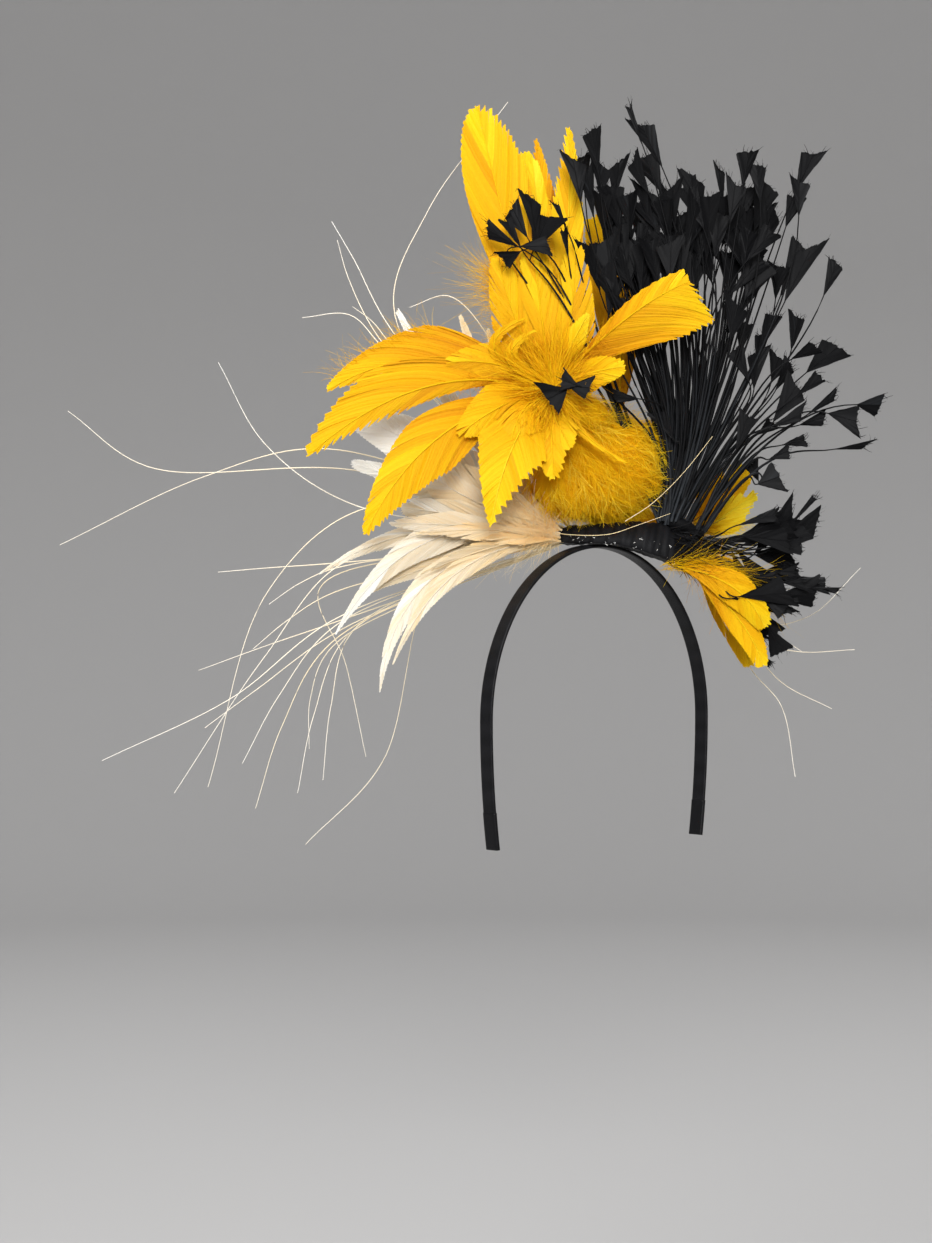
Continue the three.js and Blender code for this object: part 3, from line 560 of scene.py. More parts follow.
class Sheaf:
    """Strips, rods and skins gathered into one mesh; every point has a tone from 0 to 1."""

    def __init__(self):
        self.points = []
        self.quads = []
        self.tones = []
        self.count = 0

    def add(self, grids, tones, wrap=False):
        """Adds grids of points shaped (grids, rows, columns, 3), with tones to fit."""
        many, rows, columns = grids.shape[:3]
        index = np.arange(many * rows * columns).reshape(many, rows, columns) + self.count
        if wrap:
            index = np.concatenate([index, index[:, :, :1]], axis=2)
        corners = [index[:, :-1, :-1], index[:, :-1, 1:], index[:, 1:, 1:], index[:, 1:, :-1]]
        self.quads.append(np.stack(corners, axis=-1).reshape(-1, 4))
        self.points.append(grids.reshape(-1, 3))
        self.tones.append(np.broadcast_to(tones, (many, rows, columns)).reshape(-1))
        self.count += many * rows * columns

    def ribbons(self, lines, halves, tones):
        """Flat strips along lines shaped (strips, stations, 3), out to the half-width vectors."""
        self.add(np.stack([lines - halves, lines + halves], axis=2), np.asarray(tones)[..., None])

    def rods(self, lines, radii, tones, sides=5):
        """Round rods along lines shaped (rods, stations, 3)."""
        along = unit(np.gradient(lines, axis=1))
        steep = np.abs(along[..., 2:]) > 0.9
        out, side = square_to(along, np.where(steep, TOWARD_VIEWER, UPWARD))
        angles = np.arange(sides) * (2 * math.pi / sides)
        ring = side[:, :, None] * np.cos(angles)[:, None] + out[:, :, None] * np.sin(angles)[:, None]
        radii = np.broadcast_to(radii, lines.shape[:2])[..., None, None]
        self.add(lines[:, :, None] + ring * radii, np.asarray(tones)[..., None], wrap=True)

    def wisps(self, dice, starts, ways, lengths, tones, half=0.09, curl=0.5, facing=0.0):
        """Fine curled strands from start points, each leaving along its way, turned about to a facing."""
        drift = dice.normal(size=(3, len(starts), 3)) * curl
        reach = np.asarray(lengths)[:, None]
        second = starts + (ways + drift[0] * 0.2) * reach * 0.35
        third = starts + (ways + drift[0] * 0.5 + drift[1] * 0.4) * reach * 0.7
        last = starts + (ways + drift[0] * 0.7 + drift[1] * 0.6 + drift[2] * 0.4) * reach
        lines = bezier([starts, second, third, last], np.linspace(0, 1, WISP_STEPS))
        along = unit(np.gradient(lines, axis=1))
        faces = dice.normal(size=(len(starts), 3)) + facing
        side = unit(np.cross(along, faces[:, None]))
        taper = half * np.linspace(1, 0.4, WISP_STEPS)
        self.ribbons(lines, side * taper[:, None], np.asarray(tones)[:, None])


def put_in_scene(name, data):
    """A new object that holds a mesh, a light or a camera."""
    made = bpy.data.objects.new(name, data)
    bpy.context.scene.collection.objects.link(made)
    return made


def place(sheaf, name, finish, nodes, turned=True):
    """Makes the sheaf's mesh in the row frame, in metres, and has it stand for CAD nodes."""
    points = np.concatenate(sheaf.points) / 1000
    if turned:
        points = points @ TURN
    mesh = bpy.data.meshes.new(name)
    mesh.from_pydata(points, [], np.concatenate(sheaf.quads).tolist())
    tones = np.clip(np.concatenate(sheaf.tones), 0, 1).astype(np.float32)
    mesh.attributes.new("tone", "FLOAT", "POINT").data.foreach_set("value", tones)
    mesh.shade_smooth()
    mesh.materials.append(finish["material"])
    piece = put_in_scene(name, mesh)
    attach(piece, "root")
    if nodes:
        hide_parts(*nodes)


# Materials

GRAIN_DEPTH = 0.09
RELIEF_DEPTH = 0.0004


def new_material(name):
    material = bpy.data.materials.new(name)
    material.use_nodes = True
    return material


def add_node(material, kind, values):
    """A node of a kind in a material, with values for the inputs that are named."""
    node = material.node_tree.nodes.new("ShaderNode" + kind)
    set_inputs(node, values)
    return node


def set_inputs(node, values):
    for entry, value in values.items():
        node.inputs[entry].default_value = value


def link(source, output, target, entry):
    """Leads an output of one node to an input of another in the same material."""
    source.id_data.links.new(source.outputs[output], target.inputs[entry])


def finish_of(slot, name, ramp, rough, glow=0.0, grain=900, specular=0.3, bump=0.0):
    """The look of a material slot: its colour follows the tone of each point, with a fine grain."""
    material = new_material(name)
    nodes = material.node_tree.nodes
    shader = nodes["Principled BSDF"]
    set_inputs(shader, {"Roughness": rough, "Specular IOR Level": specular})
    tone = add_node(material, "Attribute", {})
    tone.attribute_name = "tone"
    noise = add_node(material, "TexNoise", {"Scale": grain, "Detail": 3})
    link(add_node(material, "TexCoord", {}), "Object", noise, "Vector")
    spread = add_node(material, "MapRange", {"To Min": -GRAIN_DEPTH, "To Max": GRAIN_DEPTH})
    link(noise, "Fac", spread, "Value")
    total = add_node(material, "Math", {})
    total.operation = "ADD"
    link(tone, "Fac", total, 0)
    link(spread, "Result", total, 1)
    colours = add_node(material, "ValToRGB", {})
    stops = colours.color_ramp.elements
    while len(stops) < len(ramp):
        stops.new(0.5)
    for stop, (at, colour) in zip(stops, ramp):
        stop.position = at
        stop.color = (*colour, 1)
    link(total, "Value", colours, "Fac")
    link(colours, "Color", shader, "Base Color")
    if bump:
        relief = add_node(material, "Bump", {"Strength": bump, "Distance": RELIEF_DEPTH})
        link(noise, "Fac", relief, "Height")
        link(relief, "Normal", shader, "Normal")
    if glow:
        through = add_node(material, "BsdfTranslucent", {})
        link(colours, "Color", through, "Color")
        blend = add_node(material, "MixShader", {"Fac": glow})
        link(shader, "BSDF", blend, 1)
        link(through, "BSDF", blend, 2)
        link(blend, "Shader", nodes["Material Output"], "Surface")
    return {"material": material, "slot": slot}


GOLDEN_RAMP = [
    (0.0, (0.48, 0.16, 0.002)),
    (0.3, (0.71, 0.33, 0.002)),
    (0.55, (0.79, 0.45, 0.003)),
    (0.8, (0.84, 0.57, 0.006)),
    (1.0, (0.88, 0.7, 0.03)),
]
DOWN_RAMP = [
    (0.0, (0.52, 0.2, 0.002)),
    (0.3, (0.77, 0.4, 0.003)),
    (0.55, (0.85, 0.52, 0.005)),
    (0.8, (0.87, 0.6, 0.01)),
    (1.0, (0.9, 0.7, 0.05)),
]
CREAM_RAMP = [
    (0.0, (0.92, 0.6, 0.22)),
    (0.3, (0.97, 0.76, 0.39)),
    (0.6, (0.89, 0.77, 0.54)),
    (1.0, (0.93, 0.92, 0.88)),
]
BLACK_RAMP = [
    (0.0, (0.003, 0.003, 0.0035)),
    (0.5, (0.008, 0.008, 0.0085)),
    (1.0, (0.028, 0.031, 0.035)),
]
CLOTH_RAMP = [
    (0.0, (0.002, 0.002, 0.0025)),
    (0.8, (0.008, 0.008, 0.009)),
    (0.92, (0.04, 0.04, 0.044)),
    (1.0, (0.7, 0.7, 0.68)),
]
SATIN_RAMP = [
    (0.0, (0.003, 0.003, 0.0035)),
    (1.0, (0.011, 0.011, 0.0125)),
]
golden = finish_of("golden_feather", "golden_barbs", GOLDEN_RAMP, rough=0.65, glow=0.3, specular=0.12)
down = finish_of("golden_down", "golden_marabou", DOWN_RAMP, rough=0.75, glow=0.5, specular=0.1)
cream = finish_of("cream_feather", "cream_barbs", CREAM_RAMP, rough=0.6, glow=0.5, specular=0.2)
filament = finish_of("cream_filament", "cream_quill", CREAM_RAMP, rough=0.45, glow=0.1)
black = finish_of("black_feather", "black_quill", BLACK_RAMP, rough=0.5, specular=0.05)
cloth = finish_of("black_fabric", "black_cloth", CLOTH_RAMP, rough=0.6, grain=1600, specular=0.1, bump=0.5)
satin = finish_of("black_satin", "black_satin", SATIN_RAMP, rough=0.36, grain=2400, specular=0.11, bump=0.35)


# Vaned feathers


def vane_half(share, row):
    """Half the vane's width at shares of the way from root to tip."""
    full = row["wide"] / 2
    rise = np.clip((share - QUILL_SHARE) / (row["widest"] - QUILL_SHARE), 0, 1)
    fall = np.clip((share - row["widest"]) / (1 - row["widest"]), 0, 1)
    swell = QUILL_HALF_WIDTH + (full - QUILL_HALF_WIDTH) * np.sin(rise * math.pi / 2)
    taper = row["round"] * np.sqrt(1 - fall**2) + (1 - row["round"]) * (1 - fall)
    return np.where(share < row["widest"], swell, full * (row["blunt"] + (1 - row["blunt"]) * taper))


class Quill:
    """The curve of a feather through its root, mid and tip, and the vane that hangs on it."""

    def __init__(self, root, row):
        self.row = row
        self.root = np.asarray(root, float)
        self.tip = np.asarray(row["tip"], float)
        self.bend = 2 * np.asarray(row["mid"], float) - 0.5 * self.root - 0.5 * self.tip
        line = bezier([self.root, self.bend, self.tip], np.linspace(0, 1, QUILL_STEPS))
        self.length = np.linalg.norm(np.diff(line, axis=0), axis=1).sum()
        chord = unit(self.tip - self.root)
        self.facing = TOWARD_VIEWER if abs(chord[1]) < 0.75 else UPWARD
        self.facing = self.facing + math.tan(row.get("roll", 0)) * np.cross(chord, self.facing)

    def frame_at(self, share):
        """Centre, direction along, out and side at shares of the quill."""
        t = np.asarray(share)[..., None]
        centre = (1 - t)**2 * self.root + 2 * t * (1 - t) * self.bend + t * t * self.tip
        along = unit((1 - t) * (self.bend - self.root) + t * (self.tip - self.bend))
        out, side = square_to(along, self.facing)
        return centre, along, out, side

    def on_vane(self, share, across, lift):
        """Points on the vane, so far across from the quill and lifted off it, with the way out."""
        centre, _, out, side = self.frame_at(share)
        half = vane_half(share, self.row)
        part = np.minimum(np.abs(across) / half, 1)
        droop = (self.row["fold"] * part + VANE_CUP * part**2) * half
        return centre + side * across[..., None] + out * (lift - droop)[..., None], out


def edge_of(quill, hand):
    """The outline of one half of a vane, from its root to the middle of its cut tip."""
    row = quill.row
    finish = 1 + (row.get("slant", 0) if hand < 0 else 0)
    shares = np.linspace(VANE_START, 1, EDGE_STEPS)
    halves = vane_half(shares, row) * (1 + hand * row["skew"])
    across = np.concatenate([halves, halves[-1] * np.linspace(1, 0, TIP_STEPS)[1:]])
    share = np.concatenate([shares * finish, np.linspace(finish, 1, TIP_STEPS)[1:]])
    steps = np.hypot(np.diff(across), np.diff(share) * quill.length)
    return across, share, np.concatenate([[0], np.cumsum(steps)])


def half_vane(sheaf, quill, hand, dice, tone_run):
    """One side of a vane as rows of barbs that part into tufts and end in a cut edge."""
    row = quill.row
    lean = math.radians(row["lean"])
    teeth = abs(row["teeth"])
    across, share, arc = edge_of(quill, hand)
    count = int(arc[-1] / BARB_PITCH)
    stops = (np.arange(count) + 0.6 * dice.random(count)) / count * arc[-1]
    bounds = np.cumsum(dice.uniform(*TUFT_WIDTHS, TUFTS))
    tuft = np.searchsorted(bounds, stops)
    middle = bounds[tuft] - np.diff(bounds, prepend=0)[tuft] / 2
    pull = row["split"] * dice.random(TUFTS)**2.5
    ends = middle + (stops - middle) * (1 - pull[tuft])
    depth = teeth * (1 if hand * row["teeth"] > 0 else SHALLOW_SIDE) * 0.5 / math.sin(lean)
    notches = np.cumsum(dice.uniform(0.7, 1.3, NOTCHES) * (1.5 + 0.9 * teeth))
    notch = np.searchsorted(notches, ends)
    along_notch = 1 - (notches[notch] - ends) / np.diff(notches, prepend=0)[notch]
    cut = depth * dice.uniform(0.7, 1.3, NOTCHES)[notch] * along_notch + dice.uniform(0, 0.35, count)
    start_share = np.interp(stops, arc, share)
    lean_run = np.interp(stops, arc, across) / math.tan(lean) + 1.2
    start = np.clip(start_share - lean_run / quill.length, 0.02, 0.985)
    end_across = np.interp(ends, arc, across)
    end_share = np.interp(ends, arc, share)
    barb_length = np.hypot(end_across, (end_share - start) * quill.length)
    reach = np.clip(1 - cut / barb_length, 0.5, 1)[:, None]
    along = np.linspace(0, 1, len(BARB_TAPER)) * reach
    barb_across = along * end_across[:, None]
    barb_share = start[:, None] + (0.72 * along * (1 - along) + along**2) * (end_share - start)[:, None]
    ripple = np.convolve(dice.normal(0, 0.8, count + 10), np.ones(11) / 11, "valid")
    tuft_lift = dice.normal(0, 0.5, TUFTS)[tuft]
    layer = dice.uniform(0, 0.16, count)
    lift = layer[:, None] + ripple[:, None] * along + tuft_lift[:, None] * along**2
    lines, out = quill.on_vane(barb_share, hand * barb_across, lift)
    run = unit(np.gradient(lines, axis=1))
    flat = unit(np.cross(out, run)) + out * dice.normal(0, 0.22, (count, 1, 1))
    tones = row["tone"] + np.interp(barb_share, [0, 1], tone_run) + dice.normal(0, 0.03, (count, 1))
    streaks = dice.normal(0, row.get("streak", STREAK), TUFTS)[tuft]
    sheaf.ribbons(lines, flat * (BARB_HALF * BARB_TAPER)[:, None], tones + streaks[:, None])


def feather(sheaf, root, row, dice, tone_run, fluff):
    """A whole feather: two half vanes, the shaft between them and loose down near its root."""
    quill = Quill(root, row)
    for hand in (1, -1):
        half_vane(sheaf, quill, hand, dice, tone_run)
    shares = np.linspace(0, SHAFT_END, SHAFT_STEPS)
    shaft, _ = quill.on_vane(shares, np.zeros(SHAFT_STEPS), np.full(SHAFT_STEPS, SHAFT_LIFT))
    shaft_tones = row["tone"] + np.linspace(*SHAFT_TONES, SHAFT_STEPS)
    sheaf.rods(shaft[None], np.linspace(*SHAFT_RADII, SHAFT_STEPS), shaft_tones[None])
    share = dice.uniform(0.01, 0.3, fluff)
    starts, along, out, side = quill.frame_at(share)
    ways = side * dice.uniform(-1, 1, (fluff, 1)) + along * dice.uniform(0.2, 0.9, (fluff, 1))
    ways = unit(ways + out * dice.uniform(-0.3, 0.5, (fluff, 1)))
    tones = row["tone"] + tone_run[0] + dice.normal(0, 0.12, fluff)
    sheaf.wisps(dice, starts, ways, dice.uniform(5, 13, fluff), tones)


def fringe(sheaf, quill, dice, hand, first, last, strands, long):
    """Loose down that hangs out along one edge of a vane."""
    share = dice.uniform(first, last, strands)
    inner = dice.uniform(0.55, 1.0, strands)
    across = hand * vane_half(share, quill.row) * (1 + hand * quill.row["skew"]) * inner
    starts, _ = quill.on_vane(share, across, np.full(strands, 0.2))
    _, along, _, side = quill.frame_at(share)
    ways = unit(hand * side * dice.uniform(0.4, 1.2, (strands, 1)) + along * 0.6)
    tones = quill.row["tone"] + dice.normal(0.05, 0.08, strands)
    sheaf.wisps(dice, starts, ways, long * dice.uniform(0.4, 1.1, strands), tones, half=0.085)


# Golden feathers


def petal(row, root, seed):
    """A golden feather that stands for the solid of its name."""
    sheaf = Sheaf()
    dice = np.random.default_rng(seed)
    feather(sheaf, root, row, dice, PETAL_TONE_RUN, PETAL_FLUFF)
    if row["name"] in FRINGES:
        fringe(sheaf, Quill(root, row), dice, *FRINGES[row["name"]])
    node = "petal_" + row["name"]
    place(sheaf, node + "_barbs", golden, [node])


def petals_round(centre, radius, table, first_seed):
    """Golden feathers seated round the ball of a flower."""
    for seed, row in enumerate(named(PETAL_COLUMNS, table), first_seed):
        petal(row, toward(centre, row["mid"], radius + SEAT_GAP), seed)


def low_feathers():
    """The golden feathers that hang from the back end of the base."""
    sheaf = Sheaf()
    rows = named(SHAPE_COLUMNS, LOW_FEATHERS)
    for seed, (root, row) in enumerate(zip(LOW_ROOTS, rows), LOW_SEED):
        row.update(zip(LOOK_COLUMNS, LOW_LOOK))
        feather(sheaf, root, row, np.random.default_rng(seed), PETAL_TONE_RUN, LOW_FLUFF)
    return sheaf


def flower_middle():
    """Short feathers in the middle of the flower, and soft barbs that stand out all round its front."""
    sheaf = Sheaf()
    for seed, row in enumerate(named(SHAPE_COLUMNS, FLOWER_FILL), FILL_SEED):
        row.update(zip(LOOK_COLUMNS, FILL_LOOK))
        root = toward(FLOWER_CENTRE, row["mid"], FLOWER_RADIUS * FILL_ROOT_SHARE)
        fluff = FILL_FLUFF_FOR_WIDTH * row["wide"]
        feather(sheaf, root, row, np.random.default_rng(seed), FILL_TONE_RUN, fluff)
    dice = np.random.default_rng(MIDDLE_SEED)
    turn = dice.uniform(0, 2 * math.pi, MIDDLE_STRANDS)
    ways = np.stack([np.cos(turn), dice.uniform(-0.3, 0.05, MIDDLE_STRANDS), np.sin(turn)], axis=1)
    starts = FLOWER_FRONT + ways * dice.uniform(1, 9, (MIDDLE_STRANDS, 1))
    tones = 0.58 + dice.normal(0, 0.12, MIDDLE_STRANDS)
    lengths = dice.uniform(9, 26, MIDDLE_STRANDS) * (1 - 0.5 * np.clip(np.cos(turn), 0, 1))
    front = TOWARD_VIEWER * 2
    sheaf.wisps(dice, starts, unit(ways), lengths, tones, half=0.14, curl=0.3, facing=front)
    return sheaf


petals_round(FLOWER_CENTRE, FLOWER_RADIUS, FLOWER_PETALS, FLOWER_SEED)
petals_round(FAR_CENTRE, FAR_RADIUS, FAR_PETALS, FAR_SEED)
[back_row] = named(PETAL_COLUMNS, [BACK_PETAL])
petal(back_row, BACK_PETAL_ROOT, BACK_SEED)
place(low_feathers(), "low_golden_barbs", golden, [])
place(flower_middle(), "flower_middle_barbs", golden, [])


# Base


def base_section(across):
    """Half depth, underside and top of the base at a place across."""
    stations, *profiles = np.array(BASE_SECTIONS).T
    return [np.interp(across, stations, profile) for profile in profiles]


def base_top(across, away):
    """The height of the top of the base at a place across and away."""
    half, low, high = base_section(across)
    depth = (away - BASE_CENTRE_AWAY) / half
    dome = math.sqrt(max(0, 1 - depth * depth))
    return low - BASE_FALL * (depth * half)**2 + (high - low) * (0.3 + 0.7 * dome)


def nose_across(away, up):
    """The place across where the nose of the base first reaches a depth and height."""
    across = BASE_SECTIONS[0][0]
    while across < 0:
        half, low, _ = base_section(across)
        if abs(away - BASE_CENTRE_AWAY) < half and low < up < base_top(across, away):
            break
        across += 0.1
    return across


def base_ring(across, angle):
    """How far away and how high the skin of the base is, at places across and angles round it."""
    half, low, high = base_section(across)
    reach = half * np.cos(angle)
    bulge = np.abs(np.sin(angle))
    height = np.where(np.sin(angle) >= 0, 0.3 + 0.7 * bulge, 0.3 * (1 - bulge**0.4))
    return reach, low - BASE_FALL * reach**2 + (high - low) * height


def base_skin():
    """The wrapped cloth of the base, drawn into slanting folds, with specks of glue on it; its tone follows
    the folds, as painted shade in their hollows and painted light on their ridges.
    """
    sheaf = Sheaf()
    dice = np.random.default_rng(BASE_SEED)
    across = np.linspace(BASE_SECTIONS[0][0], BASE_SECTIONS[-1][0], BASE_ROWS)[:, None]
    angle = np.linspace(0, 2 * math.pi, BASE_SIDES, endpoint=False)[None]
    reach, up = base_ring(across, angle)
    fold = 0.3 * np.sin(across * 0.75 + 3.2 * np.cos(angle) + 2 * np.sin(across * 0.13))
    fold = fold + 0.2 * np.sin(across * 1.9 - 4 * np.sin(angle))
    fold[[0, -1]] = 0
    away = BASE_CENTRE_AWAY + reach + fold * np.cos(angle)
    grid = np.stack([across + 0 * angle, away, up + fold * np.sin(angle)], axis=-1)
    ends = grid[[0, -1]].mean(axis=1, keepdims=True)
    closed = ends + (grid[[0, -1]] - ends) * 0.05
    grid = np.concatenate([closed[:1], grid, closed[1:]])
    # Painted shade and light: the cloth is darker where a fold sinks in and lighter where it stands out.
    tones = 0.45 + np.pad(fold, ((1, 1), (0, 0)), "edge") * 0.6
    sheaf.add(grid[None, :, ::-1], tones[None, :, ::-1], wrap=True)
    at_across = dice.uniform(-14, 36, GLUE_SPECKS)
    at_angle = dice.uniform(math.pi, 1.25 * math.pi, GLUE_SPECKS) - 0.35
    speck_reach, speck_up = base_ring(at_across, at_angle)
    starts = np.stack([at_across, BASE_CENTRE_AWAY + speck_reach - 0.4, speck_up], axis=1)
    ways = unit(dice.normal(size=(GLUE_SPECKS, 3)) * [1, 0.2, 0.4])
    lengths = dice.uniform(0.4, 1.3, GLUE_SPECKS)
    sheaf.wisps(dice, starts, ways, lengths, np.ones(GLUE_SPECKS), half=0.16)
    return sheaf


place(base_skin(), "base_cloth", cloth, ["base"])


# Cream feathers


def cream_plume(sheaf, row, seed, fluff, roll):
    """A pale feather that leaves the nose of the base, peach and downy at its root."""
    root = [nose_across(row["away"], row["up"]) - CREAM_STANDOFF, row["away"], row["up"]]
    row.update(teeth=CREAM_TEETH, fold=CREAM_FOLD, skew=0, streak=CREAM_STREAK, roll=roll)
    row.update(round=min(2 * row["blunt"], 0.5))
    feather(sheaf, root, row, np.random.default_rng(seed), CREAM_TONE_RUN, fluff)


for number, cream_row in enumerate(named(CREAM_COLUMNS, CREAM_FEATHERS)):
    cream_node = f"cream_feather_{number + 1:02d}"
    cream_sheaf = Sheaf()
    cream_plume(cream_sheaf, cream_row, CREAM_SEED + number, CREAM_FLUFF, CREAM_ROLL * ((number + 1) % 3 - 1))
    place(cream_sheaf, cream_node + "_barbs", cream, [cream_node])
soft_sheaf = Sheaf()
for number, soft_row in enumerate(named(CREAM_COLUMNS, CREAM_FILL)):
    cream_plume(soft_sheaf, soft_row, SOFT_SEED + number, SOFT_FLUFF, SOFT_ROLL * (number % 3 - 1))
place(soft_sheaf, "cream_soft_barbs", cream, [])


# Down puffs


def even_ways(count):
    """Directions spread evenly over a ball."""
    rise = 1 - 2 * (np.arange(count) + 0.5) / count
    ring = np.sqrt(1 - rise**2)
    turn = GOLDEN_TURN * np.arange(count)
    return np.stack([ring * np.cos(turn), ring * np.sin(turn), rise], axis=1)


def fluff_ball(sheaf, dice, centre, radii, source, plumes, strands, reach):
    """A ball of marabou: a core and soft plumes that lie over it, flowing away from a source."""
    centre = np.asarray(centre)
    radii = np.asarray(radii)
    polar, turn, ball = ball_grid(20, 36)
    lumps = 0.86 + 0.05 * np.sin(5 * turn + 3 * polar) * np.sin(4 * polar)
    # The core sits a little darker than the plumes over it: painted shade in the depth of the down.
    sheaf.add((centre + ball * radii * lumps[..., None])[None, ::-1], 0.5, wrap=True)
    ways = even_ways(plumes)
    normal = unit(ways / radii)
    seat = centre + ways * radii * dice.uniform(0.8, 0.95, (plumes, 1))
    flow, across = square_to(normal, seat - source)
    heading = unit(flow + across * dice.normal(0, 0.6, (plumes, 1)))
    hug = reach**2 / (2 * np.mean(radii))
    bends = seat + heading * reach * 0.5 + normal * reach * 0.12
    tips = seat + heading * reach - normal * hug * dice.uniform(0.25, 1.0, (plumes, 1))
    spines = bezier([seat, bends, tips], np.linspace(0, 1, strands))
    runs = unit(np.gradient(spines, axis=1)).reshape(-1, 3)
    rise = np.repeat(normal, strands, axis=0)
    sides = np.cross(rise, runs) * dice.uniform(-0.7, 0.7, (len(runs), 1))
    leave = unit(runs + sides - rise * 0.08 + dice.normal(0, 0.12, runs.shape))
    share = np.tile(np.linspace(0, 1, strands), plumes)
    plume_tone = np.repeat(dice.normal(0, 0.14, plumes), strands)
    # Painted shade and light: each plume's strands grow lighter from its seat by the core out to its tips.
    tones = 0.58 + 0.3 * share + plume_tone + dice.normal(0, 0.08, len(runs))
    beside = np.repeat(np.clip(ways[:, 0], 0, 1)**2, strands)
    lengths = reach * dice.uniform(0.45, 0.95, len(runs)) * (1 - 0.6 * beside)
    sheaf.wisps(dice, spines.reshape(-1, 3), leave, lengths, tones, half=0.11, curl=0.24, facing=rise * 2.5)


def puff(table, seed):
    """Balls of marabou gathered into one sheaf, with the dice that made them."""
    sheaf = Sheaf()
    dice = np.random.default_rng(seed)
    for row in named(BALL_COLUMNS, table):
        fluff_ball(sheaf, dice, **row)
    return sheaf, dice


def low_tuft(sheaf, dice):
    """Loose down that lies along a curve under the back end of the base."""
    steps = np.linspace(0, 1, LOW_TUFT_STEPS)
    share = dice.random(LOW_TUFT_STRANDS)
    line = bezier(LOW_TUFT, share)
    run = unit(np.gradient(bezier(LOW_TUFT, steps), axis=0))
    ways = np.stack([np.interp(share, steps, run[:, k]) for k in range(3)], axis=1)
    ways = unit(ways + dice.normal(0, 0.25, ways.shape))
    starts = line + dice.normal(0, 1.2, line.shape)
    tones = 0.55 + dice.normal(0, 0.12, LOW_TUFT_STRANDS)
    lengths = dice.uniform(9, 21, LOW_TUFT_STRANDS)
    sheaf.wisps(dice, starts, ways, lengths, tones, half=0.1, curl=0.35)


puff_sheaf, _ = puff(PUFF_BALLS, PUFF_SEED)
place(puff_sheaf, "down_puff_marabou", down, ["down_puff"])

far_sheaf, far_dice = puff(FAR_BALLS, FAR_PUFF_SEED)
far_stalk = np.linspace(FAR_CENTRE, FAR_FOOT, FAR_STALK_STEPS)
far_sheaf.rods(far_stalk[None], FAR_STALK_RADIUS, 0.2, sides=10)
low_tuft(far_sheaf, far_dice)
place(far_sheaf, "far_puff_marabou", down, ["far_puff"])


# Black sprays


def wedge_quill(sheaf, dice, controls, row, way, turn):
    """A stripped quill whose end is left as a flat wedge of barbs along its own way, trimmed straight."""
    stem = bezier(controls, np.linspace(0, 1, STEM_STEPS))
    start = stem[-1]
    rachis = start + np.linspace(0.3, 0.94, RACHIS_STEPS)[:, None] * row["long"] * way
    # Painted sheen: the bare stem is a lighter slate towards its root, fading to the dark tone of the wedge.
    stem_sheen_tone = 0.5 + 0.45 * dice.random()
    tones = np.concatenate([np.linspace(stem_sheen_tone, 0.35, STEM_STEPS), np.full(RACHIS_STEPS, 0.3)])
    radii = np.linspace(*STEM_RADII, STEM_STEPS + RACHIS_STEPS)
    sheaf.rods(np.concatenate([stem, rachis])[None], radii, tones[None], sides=4)
    facing = math.cos(turn) * TOWARD_VIEWER + math.sin(turn) * np.cross(way, TOWARD_VIEWER)
    out, side = square_to(way, facing)
    barb = np.linspace(0, 1, WEDGE_BARBS)
    rising = np.minimum(barb / WEDGE_SIDE_SHARE, 1)
    inward = np.maximum((barb - WEDGE_SIDE_SHARE) / (1 - WEDGE_SIDE_SHARE), 0)
    share = np.linspace(0, 1, WEDGE_STEPS)
    notch = dice.uniform(*WEDGE_NOTCH)
    slant = dice.uniform(*WEDGE_SLANT)
    for hand in (1, -1):
        wide = row["wide"] * 0.5 * rising * (1 - inward) * dice.uniform(0.9, 1.1)
        cut = 1 + hand * slant * (1 - inward) - notch * inward
        high = row["long"] * rising * cut + dice.normal(0, 0.3, WEDGE_BARBS) * rising
        base = np.clip(high - wide / math.tan(WEDGE_BARB_ANGLE) - 1, 0, None)
        run = base[:, None] + (high - base)[:, None] * share
        sweep = wide[:, None] * (0.85 * share + 0.15 * share**2)
        cup = dice.normal(0, 0.12) * sweep**2 / row["wide"] * 4
        ripple = dice.normal(0, 0.16, (WEDGE_BARBS, 1)) * share
        flat = start + way * run[..., None] + hand * side * sweep[..., None]
        sheet = flat + out * (cup + ripple)[..., None]
        tone = 0.3 + dice.normal(0, 0.08) + dice.normal(0, 0.09, WEDGE_BARBS)
        sheaf.add(sheet.transpose(1, 0, 2)[None], tone)
        ends = sheet[inward > 0, -1]
        ways = unit(way + hand * side * dice.uniform(0, 0.5, (len(ends), 1)))
        lengths = dice.uniform(1.2, 3.0, len(ends))
        sheaf.wisps(dice, ends - way * 0.8, ways, lengths, np.full(len(ends), 0.3), half=0.18)


def extra_rows(table, dense, count, hub, dice):
    """Extra quills among the dense rows of a table, each between two of them and a little shorter."""
    rows = np.asarray(table[:dense], float)
    first = dice.integers(0, dense, count)
    near = np.clip(first + dice.integers(-3, 4, count), 0, dense - 1)
    mix = dice.uniform(0.2, 0.8, (count, 1))
    made = rows[first] * mix + rows[near] * (1 - mix)
    reach = dice.uniform(*EXTRA_REACH, (count, 1))
    reach = reach + EXTRA_RIGHT_REACH * np.clip(made[:, :1] / EXTRA_RIGHT_RUN, 0, 1)
    made[:, :3] = hub + (made[:, :3] - hub) * reach + dice.normal(0, 3, (count, 3))
    made[:, 3] = dice.uniform(*EXTRA_LENGTHS, count)
    made[:, 4] = dice.uniform(*EXTRA_WIDTHS, count)
    made[:, 5] += dice.normal(0, 9, count)
    return made


